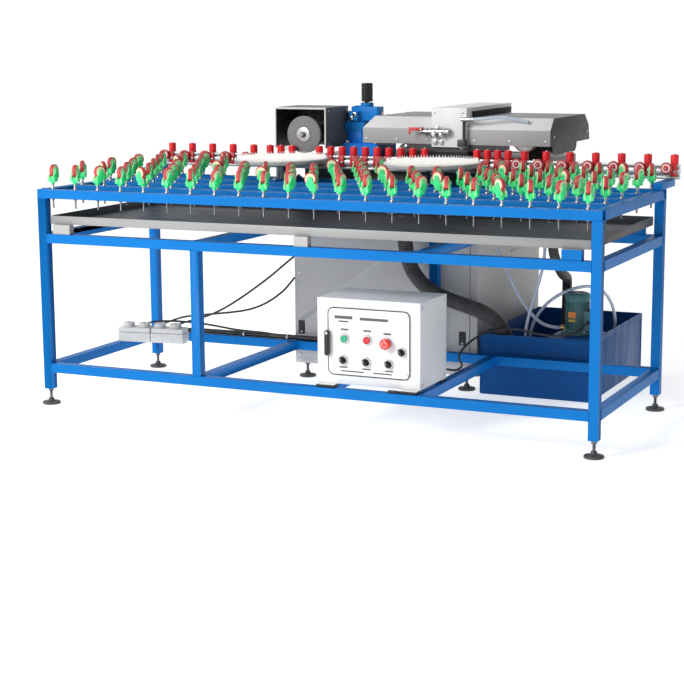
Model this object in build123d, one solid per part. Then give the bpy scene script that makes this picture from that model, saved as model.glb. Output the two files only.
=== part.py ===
from build123d import *
import math
import os

os.makedirs("parts", exist_ok=True)

# Glass edge grinding machine: roller table, fence, two grinding heads, cabinet, tank and hoses.
# Working coordinates, in millimetres: X runs right from the table's left end, Y runs back from
# its front face and Z runs up from the floor. Every node is moved by ORIGIN_SHIFT when written.

# ---- driving dimensions: table frame ----
TABLE_LENGTH = 2400.0
TABLE_DEPTH = 907.0
TABLE_TOP = 905.0
TUBE = 38.0
TUBE_WALL = 2.0
LEG_BOTTOM = 66.0
MID_RAIL_TOP = 721.0
LOW_RAIL_TOP = 175.5
POST_X = 717.0
REAR_POST_X = 1390.0
CROSS_X = 1660.0
BOX_RAIL_X = 1262.0
ROW_Y = (19.0, 237.0, 455.0, 672.0, 888.0)

# ---- levelling feet ----
FOOT_RADIUS = 38.0
FOOT_STUD_RADIUS = 7.0

# ---- casters ----
GLASS_PLANE = 1007.0
CASTER_COUNT = 22
CASTER_FIRST_X = 66.0
CASTER_PITCH = 108.4
CASTER_WHEEL_RADIUS = 25.0
CASTER_WHEEL_WIDTH = 18.0
CASTER_TRAIL = 12.0
CASTER_AXLE_Z = GLASS_PLANE - CASTER_WHEEL_RADIUS
STEM_RADIUS = 5.0
STEM_BOTTOM = 828.0
FORK_BOTTOM = 928.0

# ---- fence ----
FENCE_FRONT = 1010.0
FENCE_BACK = 1040.0
FENCE_BOTTOM = 935.0
FENCE_TOP = 995.0
FENCE_OVERHANG = 22.0
FENCE_ROLLER_RADIUS = 16.5
FENCE_ROLLER_Y = 1020.0
FENCE_WHEEL_RADIUS = 24.0
FENCE_WHEEL_DROP = 12.0
# Each run of fence rollers: first X, pitch, how many, and whether each bracket also has a wheel.
FENCE_RUNS = (
    (47.0, 106.5, 5, True),
    (556.0, 55.0, 3, False),
    (802.0, 56.2, 10, False),
    (1548.0, 46.7, 4, False),
    (1762.0, 95.0, 2, True),
    (1961.0, 110.0, 5, True),
)

# ---- round brush tables ----
DISC_CENTRES_X = (737.0, 1441.0)
DISC_Y = 775.0
DISC_RADIUS = 205.0
DISC_TOP = 1000.0
DISC_THICKNESS = 24.0

# ---- drip tray ----
TRAY_TOP = 795.0
TRAY_HEIGHT = 34.0
TRAY_SHEET = 3.0

# ---- cabinet and coolant tank behind the table ----
CABINET_X = (720.0, 1590.0)
CABINET_Y = (925.0, 1750.0)
CABINET_Z = (66.0, 880.0)
TANK_X = (1611.0, 2100.0)
TANK_Y = (912.0, 1700.0)
TANK_TOP = 262.0
TANK_SHEET = 4.0

# ---- control box ----
BOX_X = (1258.0, 1690.0)
BOX_Y = (40.0, 310.0)
BOX_Z = (188.0, 524.0)
BOX_SHEET = 3.0
DOOR_X = (1303.0, 1651.0)
DOOR_Z = (223.0, 491.0)
DOOR_THICKNESS = 4.0
DOOR_FRONT = BOX_Y[0] - DOOR_THICKNESS

# ---- wheel grinding head ----
WHEEL_CENTRE = (713.0, 1083.0)
WHEEL_RADIUS = 83.0
WHEEL_FRONT = 1044.0
WHEEL_BACK = 1066.0
GUARD_X = (565.0, 820.0)
GUARD_Y = (1050.0, 1290.0)
GUARD_Z = (1023.0, 1203.0)
GUARD_SHEET = 3.0
COLUMN_X = 874.0
COLUMN_Y = 1290.0
GRIP_X = 915.0
SPINDLE_Z = WHEEL_CENTRE[1]

# ---- belt grinding head ----
COVER_Y = (1061.0, 1628.0)
COVER_Z = (1052.0, 1118.0, 1168.0)
COVER_SHEET = 3.0
LEFT_COVER_X = (996.0, 1328.0)
CENTRE_COVER_X = (1328.0, 1489.0)
RIGHT_COVER_X = (1489.0, 1860.0)
CENTRE_COVER_Z = (1041.0, 1210.0)
DRUM_RADIUS = 50.0
DRUM_Z = 1076.0
DRUM_Y = (1075.0, 1115.0)
IDLER_X = 1228.0
DRIVE_X = 1737.0
BELT_THICKNESS = 3.0

FRONT_EDGE = TUBE / 2 - FOOT_RADIUS
ORIGIN_SHIFT = (-TABLE_LENGTH / 2, -(FRONT_EDGE + CABINET_Y[1]) / 2, 0.0)


def block(x_range, y_range, z_range):
    """A rectangular block between three pairs of limits."""
    size = (x_range[1] - x_range[0], y_range[1] - y_range[0], z_range[1] - z_range[0])
    middle = (sum(x_range) / 2, sum(y_range) / 2, sum(z_range) / 2)
    return Pos(*middle) * Box(*size)


def shell(x_range, y_range, z_range, sheet, open_sides):
    """A sheet-metal box; open_sides names the faces left open, such as '+Z' or '-Y'."""
    limits = [list(x_range), list(y_range), list(z_range)]
    inner = [[low + sheet, high - sheet] for low, high in limits]
    for side in open_sides:
        row = "XYZ".index(side[1])
        end = 1 if side[0] == "+" else 0
        inner[row][end] = limits[row][end] + (sheet if end else -sheet)
    return block(*limits) - block(*inner)


def rod(start, axis, length, radius):
    """A round bar from start along one of the axes X, Y or Z."""
    turn = {"X": (0, 90, 0), "Y": (-90, 0, 0), "Z": (0, 0, 0)}[axis]
    bar = Cylinder(radius, length, align=(Align.CENTER, Align.CENTER, Align.MIN))
    return Pos(*start) * Rot(*turn) * bar


def tube_bar(x_range, y_range, z_range, axis):
    """A square hollow tube that fills the three limits, open along its own axis."""
    outer = block(x_range, y_range, z_range)
    inner = []
    for name, limits in zip("XYZ", (x_range, y_range, z_range)):
        inner.append(limits if name == axis else (limits[0] + TUBE_WALL, limits[1] - TUBE_WALL))
    return outer - block(*inner)


def write(name, solids):
    """Writes one node as a group of its solids, moved to the part's origin."""
    group = Compound(children=[Pos(*ORIGIN_SHIFT) * solid for solid in solids])
    export_step(group, f"parts/{name}.step")


# ---- the blue table frame ----
def x_tube(x_range, y, top):
    return tube_bar(x_range, (y, y + TUBE), (top - TUBE, top), "X")


def y_tube(x, y_range, top):
    return tube_bar((x, x + TUBE), y_range, (top - TUBE, top), "Y")


def z_tube(x, y, z_range):
    return tube_bar((x, x + TUBE), (y, y + TUBE), z_range, "Z")


BACK = TABLE_DEPTH - TUBE
RIGHT = TABLE_LENGTH - TUBE
INSIDE_X = (TUBE, RIGHT)
INSIDE_Y = (TUBE, BACK)
SUPPORT_X = ((68.0, 150.0), (1177.0, 1237.0), (2250.0, 2326.0))


def table_frame():
    solids = []
    for x in (0.0, RIGHT):
        for y in (0.0, BACK):
            solids.append(z_tube(x, y, (LEG_BOTTOM, TABLE_TOP - TUBE)))
        for top in (MID_RAIL_TOP, LOW_RAIL_TOP):
            solids.append(y_tube(x, INSIDE_Y, top))
    for y in (0.0, BACK):
        for top in (MID_RAIL_TOP, LOW_RAIL_TOP):
            solids.append(x_tube(INSIDE_X, y, top))
    solids.append(z_tube(POST_X, 0.0, (LOW_RAIL_TOP, MID_RAIL_TOP - TUBE)))
    solids.append(z_tube(REAR_POST_X, BACK, (LOW_RAIL_TOP, MID_RAIL_TOP - TUBE)))
    for x in (POST_X, CROSS_X):
        for top in (MID_RAIL_TOP, LOW_RAIL_TOP):
            solids.append(y_tube(x, INSIDE_Y, top))
    solids.append(y_tube(BOX_RAIL_X, INSIDE_Y, LOW_RAIL_TOP))
    return solids


def top_frame():
    """Five roller rails and two side rails; every caster stem has its own drilled hole."""
    solids = []
    for row, row_y in enumerate(ROW_Y):
        at_edge = row in (0, len(ROW_Y) - 1)
        ends = (0.0, TABLE_LENGTH) if at_edge else INSIDE_X
        rail = x_tube(ends, row_y - TUBE / 2, TABLE_TOP)
        drill = []
        for x in caster_places(row):
            drill.append(rod((x, row_y, TABLE_TOP - TUBE - 1), "Z", TUBE + 2, STEM_RADIUS + 0.1))
        solids.append(rail - drill)
    for x in (0.0, RIGHT):
        solids.append(y_tube(x, INSIDE_Y, TABLE_TOP))
    return solids


def foot(x, y, stud_top):
    """A levelling foot: flat pad, tapered boss, threaded stud and lock nut in one turned piece."""
    outline = Polyline(
        (0, 0), (FOOT_RADIUS - 2, 0), (FOOT_RADIUS, 3), (FOOT_RADIUS, 11), (15, 26), (13, 32),
        (FOOT_STUD_RADIUS, 32), (FOOT_STUD_RADIUS, stud_top - 10), (12, stud_top - 10),
        (12, stud_top), (0, stud_top), (0, 0),
    )
    face = make_face(Plane.XZ * outline)
    return Pos(x, y, 0) * revolve(face, Axis.Z, 360)


def levelling_feet():
    places = [(x, y) for x in (TUBE / 2, TABLE_LENGTH - TUBE / 2) for y in (TUBE / 2, BACK + TUBE / 2)]
    places += [(x, y) for x in (CABINET_X[0] + 42, CABINET_X[1] - 60) for y in (962.0, 1708.0)]
    return [foot(x, y, LEG_BOTTOM) for x, y in places]


def drip_tray():
    """The shallow tray, its two drain spigots and the blocks that carry it on the mid rails."""
    depth = (22.0, TABLE_DEPTH - 22.0)
    height = (TRAY_TOP - TRAY_HEIGHT, TRAY_TOP)
    width = (TUBE + 4, RIGHT - 4)
    corners = [
        block((x, x + TUBE + 8), (y, y + 40), (height[0] - 1, height[1] + 1))
        for x in (0.0, RIGHT - 8) for y in (0.0, BACK - 4)
    ]
    tray = shell(width, depth, height, TRAY_SHEET, ["+Z"]) - corners
    solids = [tray]
    for x, y, radius in ((LARGE_HOSE[0][0], LARGE_HOSE[0][1], 30.0), (SMALL_HOSE[0][0], SMALL_HOSE[0][1], 19.0)):
        spigot = rod((x, y, LARGE_HOSE[0][2]), "Z", height[0] - LARGE_HOSE[0][2], radius)
        solids.append(spigot)
    for x_range in SUPPORT_X:
        for y_range in ((3.0, 35.0), (BACK + 3, BACK + 19)):
            solids.append(block(x_range, y_range, (MID_RAIL_TOP, height[0])))
    return solids


# ---- casters ----
def caster_places(row):
    """Stem positions along one roller rail, left out where a round table stands."""
    clear = DISC_RADIUS + 42
    places = []
    for index in range(CASTER_COUNT):
        x = CASTER_FIRST_X + index * CASTER_PITCH
        if all(math.hypot(x - disc, ROW_Y[row] - DISC_Y) > clear for disc in DISC_CENTRES_X):
            places.append(x)
    return places


def caster_angle(x, row):
    """Casters are left pointing each its own way: mostly front to back, a few side-on."""
    index = round((x - CASTER_FIRST_X) / CASTER_PITCH)
    turn = 24 * math.sin(2.4 * index + 1.7 * row)
    if (3 * index + 2 * row) % 7 == 5:
        turn += 75
    return turn


def caster_fork():
    """Moulded fork, pointing back along Y, with its boss on the stem and its axle across X."""
    boss = rod((0, 0, FORK_BOTTOM), "Z", 20, 11)
    bridge = block((-15, 15), (-8, 13), (FORK_BOTTOM + 12, FORK_BOTTOM + 22))
    fork = boss + bridge
    for side in (-1, 1):
        inner = side * 10.0
        outer = side * 15.0
        low, high = min(inner, outer), max(inner, outer)
        cheek = Polyline((-8, 14), (13, 14), (CASTER_TRAIL + 13, 50), (CASTER_TRAIL - 12, 50), (-8, 14))
        plate = extrude(make_face(Plane.YZ * cheek), 5, dir=(1, 0, 0))
        fork += Pos(low, 0, FORK_BOTTOM) * plate
        fork += rod((low, CASTER_TRAIL, CASTER_AXLE_Z), "X", high - low, 13)
    fork += rod((-18, CASTER_TRAIL, CASTER_AXLE_Z), "X", 36, 3.5)
    fork -= rod((0, 0, FORK_BOTTOM - 1), "Z", 19, 4.05)
    return fork


def caster_wheel():
    wheel = rod((-CASTER_WHEEL_WIDTH / 2, CASTER_TRAIL, CASTER_AXLE_Z), "X", CASTER_WHEEL_WIDTH, CASTER_WHEEL_RADIUS)
    wheel = fillet(wheel.edges(), 3)
    bore = rod((-CASTER_WHEEL_WIDTH, CASTER_TRAIL, CASTER_AXLE_Z), "X", 2 * CASTER_WHEEL_WIDTH, 3.6)
    return wheel - bore


def caster_stem():
    """Threaded stem through the rail, with nuts above and below and a plain spindle on top."""
    stem = rod((0, 0, STEM_BOTTOM), "Z", 920 - STEM_BOTTOM, STEM_RADIUS)
    stem += rod((0, 0, 920), "Z", 25.5, 4.0)
    for z in (TABLE_TOP, TABLE_TOP - TUBE - 8):
        nut = extrude(RegularPolygon(9.5, 6), 8)
        stem += Pos(0, 0, z) * nut
    stem += rod((0, 0, 919), "Z", FORK_BOTTOM - 919.2, 7.5)
    return stem


MOVING_CASTER = (3, 0)


def caster_groups():
    """All casters; the fourth of the front row is kept apart so that it can swivel and roll."""
    stem, fork, wheel = caster_stem(), caster_fork(), caster_wheel()
    groups = {"caster_stems": [], "caster_forks": [], "caster_wheels": []}
    for row, row_y in enumerate(ROW_Y):
        for x in caster_places(row):
            index = round((x - CASTER_FIRST_X) / CASTER_PITCH)
            place = Pos(x, row_y, 0)
            groups["caster_stems"].append(place * stem)
            if (index, row) == MOVING_CASTER:
                groups["caster_fork_1"] = [place * fork]
                groups["caster_wheel_1"] = [place * wheel]
                continue
            turned = place * Rot(0, 0, caster_angle(x, row))
            groups["caster_forks"].append(turned * fork)
            groups["caster_wheels"].append(turned * wheel)
    return groups


# ---- fence ----
def fence_places():
    """Every roller's X, with True where its bracket also carries a wheel."""
    places = []
    for first, pitch, count, with_wheel in FENCE_RUNS:
        for step in range(count):
            places.append((first + step * pitch, with_wheel))
    return places


def rear_brackets():
    """Two arms that carry the fence rail, and two plates with pillars for the round tables."""
    solids = []
    for x in (0.0, RIGHT):
        solids.append(block((x, x + TUBE), (830, 1046), (TABLE_TOP, FENCE_BOTTOM)))
    for x in DISC_CENTRES_X:
        plate = block((x - 35, x + 35), (ROW_Y[3] - 19, TABLE_DEPTH), (TABLE_TOP, TABLE_TOP + 6))
        pillar = rod((x, DISC_Y, TABLE_TOP + 6), "Z", 49, 24)
        spindle = rod((x, DISC_Y, TABLE_TOP + 50), "Z", 40, 10)
        solids.append(plate + pillar + spindle)
    return solids


def fence_rail():
    """Slotted aluminium extrusion: two slots in front, two behind and one on top."""
    x_range = (-FENCE_OVERHANG, TABLE_LENGTH + FENCE_OVERHANG)
    rail = block(x_range, (FENCE_FRONT, FENCE_BACK), (FENCE_BOTTOM, FENCE_TOP))
    for z in (FENCE_BOTTOM + 15, FENCE_TOP - 15):
        for y_mouth, y_room in (
            ((FENCE_FRONT - 1, FENCE_FRONT + 9), (FENCE_FRONT + 3, FENCE_FRONT + 9)),
            ((FENCE_BACK - 9, FENCE_BACK + 1), (FENCE_BACK - 9, FENCE_BACK - 3)),
        ):
            rail -= block((x_range[0] - 1, x_range[1] + 1), y_mouth, (z - 4, z + 4))
            rail -= block((x_range[0] - 1, x_range[1] + 1), y_room, (z - 7, z + 7))
    return [rail]


def fence_bracket(with_wheel):
    """Clamp plate on the rail's front, a shelf over its top with the roller's pin, and a wheel lug."""
    bracket = block((-13, 13), (FENCE_FRONT - 7, FENCE_FRONT), (948, FENCE_TOP + 3))
    bracket += block((-13, 13), (FENCE_FRONT - 7, FENCE_BACK - 6), (FENCE_TOP, FENCE_TOP + 3))
    bracket += rod((0, FENCE_ROLLER_Y, FENCE_TOP), "Z", GLASS_PLANE + 30 - FENCE_TOP, 4)
    if with_wheel:
        wheel_x, wheel_z = fence_wheel_centre()
        bracket += block((wheel_x - 8, 0), (FENCE_FRONT - 7, FENCE_FRONT), (wheel_z - 12, wheel_z + 8))
        bracket += rod((wheel_x, 983, wheel_z), "Y", FENCE_FRONT - 983, 4)
    return bracket


def fence_wheel_centre():
    return -27.0, GLASS_PLANE - 2 - FENCE_WHEEL_RADIUS


def fence_roller():
    roller = rod((0, FENCE_ROLLER_Y, FENCE_TOP + 4), "Z", 36, FENCE_ROLLER_RADIUS)
    roller = chamfer(roller.edges(), 1.5)
    return roller - rod((0, FENCE_ROLLER_Y, FENCE_TOP), "Z", 60, 4.1)


def fence_wheel():
    wheel_x, wheel_z = fence_wheel_centre()
    wheel = rod((wheel_x, 985, wheel_z), "Y", 14, FENCE_WHEEL_RADIUS)
    wheel = chamfer(wheel.edges(), 2)
    return wheel - rod((wheel_x, 980, wheel_z), "Y", 30, 4.1)


def fence_groups():
    groups = {"fence_brackets": [], "fence_rollers": [], "fence_wheels": []}
    roller, wheel = fence_roller(), fence_wheel()
    brackets = {choice: fence_bracket(choice) for choice in (True, False)}
    for number, (x, with_wheel) in enumerate(fence_places()):
        place = Pos(x, 0, 0)
        groups["fence_brackets"].append(place * brackets[with_wheel])
        if number == 0:
            groups["fence_roller_1"] = [place * roller]
            groups["fence_wheel_1"] = [place * wheel]
            continue
        groups["fence_rollers"].append(place * roller)
        if with_wheel:
            groups["fence_wheels"].append(place * wheel)
    return groups


def brush_disc(x):
    """Round table with a rim, turning on its pillar; the bristles stand on its top face."""
    disc = rod((x, DISC_Y, DISC_TOP - DISC_THICKNESS), "Z", DISC_THICKNESS, DISC_RADIUS)
    disc = fillet(disc.edges(), 4)
    disc += rod((x, DISC_Y, DISC_TOP - DISC_THICKNESS - 15), "Z", 16, 30)
    return disc - rod((x, DISC_Y, TABLE_TOP + 40), "Z", 52, 10.1)


# ---- cabinet ----
LATCH_Z = 232.0
LATCHES_X = (CABINET_X[0] + 34, CABINET_X[1] - 66)


def cabinet_body():
    """Closed sheet cabinet with rounded lower edges, and its lift-off front panel."""
    body = block(CABINET_X, CABINET_Y, CABINET_Z)
    body = fillet(body.edges().filter_by(Axis.X).group_by(Axis.Z)[0], 14)
    room = [(low + 3, high - 3) for low, high in (CABINET_X, CABINET_Y, CABINET_Z)]
    inner = block(*room)
    body -= fillet(inner.edges().filter_by(Axis.X).group_by(Axis.Z)[0], 11)
    panel = block((CABINET_X[0] + 12, CABINET_X[1] - 34), (921, 925), (92, 860))
    for x in LATCHES_X:
        panel -= block((x - 17, x + 17), (920.9, 923.2), (LATCH_Z - 33, LATCH_Z + 33))
    glands = []
    for end in (PLUG_CABLE_1[-1], PLUG_CABLE_2[-1]):
        glands.append(block((end[0] - 12, CABINET_X[0]), (end[1], end[1] + 36), (end[2] - 12, end[2] + 12)))
    return [body, panel, *glands]


def cabinet_latches():
    """Two paddle latches, flush in the panel, hinged along their top edge."""
    solids = []
    for x in LATCHES_X:
        solids.append(block((x - 15, x + 15), (919, 923), (LATCH_Z - 30, LATCH_Z + 30)))
    return solids


# ---- control box ----
def control_box():
    """Sheet box on four pads, open behind its door, with a cable gland low on the back."""
    box = shell(BOX_X, BOX_Y, BOX_Z, BOX_SHEET, [])
    mouth = block((DOOR_X[0] + 12, DOOR_X[1] - 12), (BOX_Y[0] - 1, BOX_Y[0] + 5), (DOOR_Z[0] + 12, DOOR_Z[1] - 12))
    box -= mouth
    solids = [box]
    for x_range in ((BOX_RAIL_X + 4, BOX_RAIL_X + 80), (BOX_X[1] - 74, BOX_X[1] - 4)):
        solids.append(block(x_range, (BOX_Y[0] - 32, BOX_Y[0] + 12), (LOW_RAIL_TOP, BOX_Z[0])))
    for x in (BOX_RAIL_X, CROSS_X):
        solids.append(block((x, x + 30), (BOX_Y[1] - 50, BOX_Y[1] - 5), (LOW_RAIL_TOP, BOX_Z[0])))
    for end, radius in ((PUMP_CABLE[-1], 9), (CABLE_BUNDLE[-1], 15)):
        solids.append(rod((end[0], BOX_Y[1], end[2]), "Y", end[1] - BOX_Y[1], radius))
    return solids


CONTROL_X = (BOX_X[0] + 118, BOX_X[0] + 214, BOX_X[0] + 298)
BUTTON_Z = 369.0
SELECTOR_PLACES = (
    (CONTROL_X[0] - 5, 284.0),
    (CONTROL_X[1] - 4, 282.0),
    (CONTROL_X[2] + 6, 281.0),
    (BOX_X[0] + 359, 331.0),
)
CAP_RADIUS = 15.0
KNOB_RADIUS = 14.0
SELECTOR_REST = 40.0
MUSHROOM_RADIUS = 22.0
BEZEL_DEPTH = 7.0


def control_door():
    """Door plate with rounded corners, a bezel ring for each control and a through hole."""
    plate = block(DOOR_X, (DOOR_FRONT, BOX_Y[0]), DOOR_Z)
    door = fillet(plate.edges().filter_by(Axis.Y), 26)
    holes = []
    places = [(x, BUTTON_Z, CAP_RADIUS) for x in CONTROL_X[:2]]
    places.append((CONTROL_X[2], BUTTON_Z - 6, CAP_RADIUS))
    places += [(x, z, KNOB_RADIUS) for x, z in SELECTOR_PLACES]
    for x, z, radius in places:
        ring = rod((x, DOOR_FRONT - BEZEL_DEPTH, z), "Y", BEZEL_DEPTH, radius + 4)
        ring -= rod((x, DOOR_FRONT - BEZEL_DEPTH - 1, z), "Y", BEZEL_DEPTH + 1, radius + 0.4)
        door += ring
        holes.append(rod((x, DOOR_FRONT - 1, z), "Y", DOOR_THICKNESS + 2, 7))
    return door - holes


def push_button(x):
    """Round cap in its bezel, a stem through the door and the contact block behind it."""
    front = DOOR_FRONT - BEZEL_DEPTH - 5
    cap = rod((x, front, BUTTON_Z), "Y", 7, CAP_RADIUS)
    cap = chamfer(cap.edges().group_by(Axis.Y)[0], 1.5)
    return cap + rod((x, front + 5, BUTTON_Z), "Y", 34, 5) + rod((x, BOX_Y[0] + 7, BUTTON_Z), "Y", 12, 9)


def emergency_stop():
    x, z = CONTROL_X[2], BUTTON_Z - 6
    front = DOOR_FRONT - 34
    head = rod((x, front, z), "Y", 14, MUSHROOM_RADIUS)
    head = fillet(head.edges().group_by(Axis.Y)[0], 6)
    collar = rod((x, front + 12, z), "Y", 12, 13)
    return head + collar + rod((x, front + 20, z), "Y", 34, 5) + rod((x, BOX_Y[0] + 8, z), "Y", 14, 9)


def selector_switch(x, z):
    front = DOOR_FRONT - BEZEL_DEPTH - 16
    knob = rod((x, DOOR_FRONT - BEZEL_DEPTH - 4, z), "Y", 9, KNOB_RADIUS)
    grip = block((-5, 5), (front, DOOR_FRONT - BEZEL_DEPTH - 3), (-13, 17))
    grip = Pos(x, 0, z) * Rot(0, -SELECTOR_REST, 0) * fillet(grip.edges().filter_by(Axis.Y), 3)
    return knob + grip + rod((x, DOOR_FRONT - 4, z), "Y", 20, 5)


HANDLE_X = DOOR_X[0] + 4
HANDLE_TOP_Z = 400.0
HANDLE_LENGTH = 100.0


def door_handle():
    """Bar handle that hangs on a pivot near its top and swings out to the left."""
    x_range = (HANDLE_X - 11, HANDLE_X + 11)
    bar = block(x_range, (DOOR_FRONT - 22, DOOR_FRONT - 6), (HANDLE_TOP_Z - HANDLE_LENGTH, HANDLE_TOP_Z))
    bar = fillet(bar.edges().filter_by(Axis.Y), 8)
    return bar + rod((HANDLE_X, DOOR_FRONT - 8, HANDLE_TOP_Z - 11), "Y", 7.8, 8)


# ---- wheel grinding head ----
HEAD_TRAVEL_GAP = 14.0
HEAD_BOTTOM = 1130.0
HEAD_TOP = 1216.0
NECK_END = LEFT_COVER_X[0] - 11
POST_RADIUS = 20.0
BED_TOP = 985.0


def slide_column():
    """Cast base and column, with the round post that the head slides on."""
    base = block((840, 1015), (1180, 1390), (BED_TOP, 1040))
    column = block((COLUMN_X - 45, COLUMN_X + 45), (COLUMN_Y - 45, COLUMN_Y + 45), (1040, HEAD_BOTTOM - HEAD_TRAVEL_GAP))
    column = fillet(column.edges().filter_by(Axis.Z), 18)
    post = rod((COLUMN_X, COLUMN_Y, HEAD_BOTTOM - HEAD_TRAVEL_GAP - 1), "Z", 70, POST_RADIUS)
    return [base + column + post]


def slide_head():
    """Casting on the post, the nut housing under the grip and the arm to the guard's back."""
    clamp = rod((COLUMN_X, COLUMN_Y, HEAD_BOTTOM), "Z", 50, 48)
    neck = block((COLUMN_X + 8, NECK_END), (COLUMN_Y - 34, COLUMN_Y + 34), (HEAD_BOTTOM + 8, HEAD_TOP - 16))
    neck = fillet(neck.edges().filter_by(Axis.Z), 10)
    housing = rod((GRIP_X, COLUMN_Y, HEAD_BOTTOM + 8), "Z", HEAD_TOP - HEAD_BOTTOM - 8, 30)
    cap = rod((COLUMN_X, COLUMN_Y, HEAD_BOTTOM + 48), "Z", 22, 34)
    arm = block((GUARD_X[1] - 40, COLUMN_X - 30), (GUARD_Y[1], GUARD_Y[1] + 30), (HEAD_BOTTOM + 4, HEAD_BOTTOM + 44))
    screw = rod((COLUMN_X + 14, COLUMN_Y - 62, HEAD_BOTTOM + 26), "Y", 40, 11)
    head = clamp + neck + housing + cap + arm + screw
    return head - rod((COLUMN_X, COLUMN_Y, HEAD_BOTTOM - 1), "Z", 71, POST_RADIUS + 0.1)


def adjusting_grip():
    """Hand grip on the lead screw."""
    grip = rod((GRIP_X, COLUMN_Y, HEAD_TOP + 6), "Z", 84, 26)
    grip = chamfer(grip.edges(), 3)
    return grip + rod((GRIP_X, COLUMN_Y, HEAD_TOP + 0.3), "Z", 8, 12)


def wheel_guard():
    """Sheet guard, open in front and below, around the grinding wheel."""
    guard = shell(GUARD_X, GUARD_Y, GUARD_Z, GUARD_SHEET, ["-Y", "-Z"])
    lip = block(GUARD_X, (GUARD_Y[0], GUARD_Y[0] + 12), (GUARD_Z[0], GUARD_Z[1]))
    lip -= block((GUARD_X[0] + 7, GUARD_X[1] - 7), (GUARD_Y[0] - 1, GUARD_Y[0] + 13), (GUARD_Z[0] - 1, GUARD_Z[1] - 8))
    return guard + lip


def spindle_motor():
    """Motor inside the guard, bolted to its back wall, with a nose bearing for the shaft."""
    x, z = WHEEL_CENTRE
    body = rod((x, 1105, z), "Y", GUARD_Y[1] - GUARD_SHEET - 1105, 50)
    nose = rod((x, 1088, z), "Y", 20, 24)
    return body + nose - rod((x, 1080, z), "Y", 60, 8.1)


def grinding_wheel():
    """Disc wheel with its flange, nut and shaft."""
    x, z = WHEEL_CENTRE
    wheel = rod((x, WHEEL_FRONT, z), "Y", WHEEL_BACK - WHEEL_FRONT, WHEEL_RADIUS)
    wheel = chamfer(wheel.edges(), 2)
    flange = rod((x, WHEEL_FRONT - 7, z), "Y", 8, 30)
    nut = Pos(x, WHEEL_FRONT - 7, z) * Rot(90, 0, 0) * extrude(RegularPolygon(13, 6), 11)
    shaft = rod((x, WHEEL_BACK - 1, z), "Y", 70, 8)
    tip = rod((x, WHEEL_FRONT - 24, z), "Y", 12, 6)
    return wheel + flange + nut + tip + shaft


# ---- belt grinding head ----
def grinder_bed():
    """Bed plate on the cabinet, the black platen housing at the fence and the drum supports."""
    bed = block((700, 1800), (1080, 1620), (CABINET_Z[1], BED_TOP))
    platen = block((1230, 1489), (1060, 1150), (BED_TOP, 1020))
    stand = block((1340, 1476), (1150, 1400), (BED_TOP, 1120))
    arm = block((IDLER_X - 25, DRIVE_X + 25), (1130, 1150), (DRUM_Z - 16, DRUM_Z + 16))
    guard = block((1168, 1489), (1066, 1073), (BED_TOP, COVER_Z[0] - 1))
    guard = fillet(guard.edges().filter_by(Axis.Y).group_by(Axis.X)[0], 22)
    skirt = block((1480, 1676), (1066, 1073), (1028, COVER_Z[0] - 1))
    shafts = [rod((x, DRUM_Y[0] - 5, DRUM_Z), "Y", 70, 10) for x in (IDLER_X, DRIVE_X)]
    barbs = [rod(end, "Z", CABINET_Z[1] - end[2], 8) for end in (LEFT_TUBE[-1], RIGHT_TUBE[-1])]
    body = bed + platen + stand + arm + guard + skirt + shafts[0] + shafts[1]
    return [body] + barbs


def drum(x):
    body = rod((x, DRUM_Y[0], DRUM_Z), "Y", DRUM_Y[1] - DRUM_Y[0], DRUM_RADIUS)
    body = chamfer(body.edges(), 1.5)
    return body - rod((x, DRUM_Y[0] - 2, DRUM_Z), "Y", 60, 10.1)


def abrasive_belt():
    """Endless belt around both drums, standing a hair off them."""
    outer_radius = DRUM_RADIUS + 0.4 + BELT_THICKNESS
    width = (DRUM_Y[0] + 3, DRUM_Y[1] - 3)

    def loop(radius):
        ends = rod((IDLER_X, width[0], DRUM_Z), "Y", width[1] - width[0], radius)
        ends += rod((DRIVE_X, width[0], DRUM_Z), "Y", width[1] - width[0], radius)
        return ends + block((IDLER_X, DRIVE_X), width, (DRUM_Z - radius, DRUM_Z + radius))

    return loop(outer_radius) - loop(outer_radius - BELT_THICKNESS)


MOTOR_Y = 1250.0


def belt_motor():
    """Cylindrical motor across the right end, below the cover, on a foot."""
    body = rod((1770, MOTOR_Y, 1086), "X", 80, 76)
    body = fillet(body.edges(), 8)
    return body + block((1690, 1790), (MOTOR_Y - 40, MOTOR_Y + 40), (BED_TOP, 1050))


def long_cover(x_range, chamfered_left):
    """Sheet cover open below and towards the centre, with sloping shoulders at front and back."""
    def solid(inset):
        y0, y1 = COVER_Y[0] + inset, COVER_Y[1] - inset
        z0, z1, z2 = COVER_Z[0] - 1 if inset else COVER_Z[0], COVER_Z[1], COVER_Z[2] - inset
        outline = Polyline((y0, z0), (y0, z1), (y0 + 45, z2), (y1 - 75, z2), (y1 - 14, z1), (y1, z0), (y0, z0))
        length = x_range[1] - x_range[0]
        x0 = x_range[0] + (inset if chamfered_left else -inset)
        body = Pos(x0, 0, 0) * extrude(make_face(Plane.YZ * outline), length, dir=(1, 0, 0))
        if chamfered_left:
            wedge = Polyline((x0 - 1, z1), (x0, z1), (x0 + 40, z2), (x0 + 40, z2 + 1), (x0 - 1, z2 + 1), (x0 - 1, z1))
            body -= extrude(make_face(Plane.XZ * wedge), 2000, dir=(0, 1, 0))
        return body

    return solid(0) - solid(COVER_SHEET)


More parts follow.
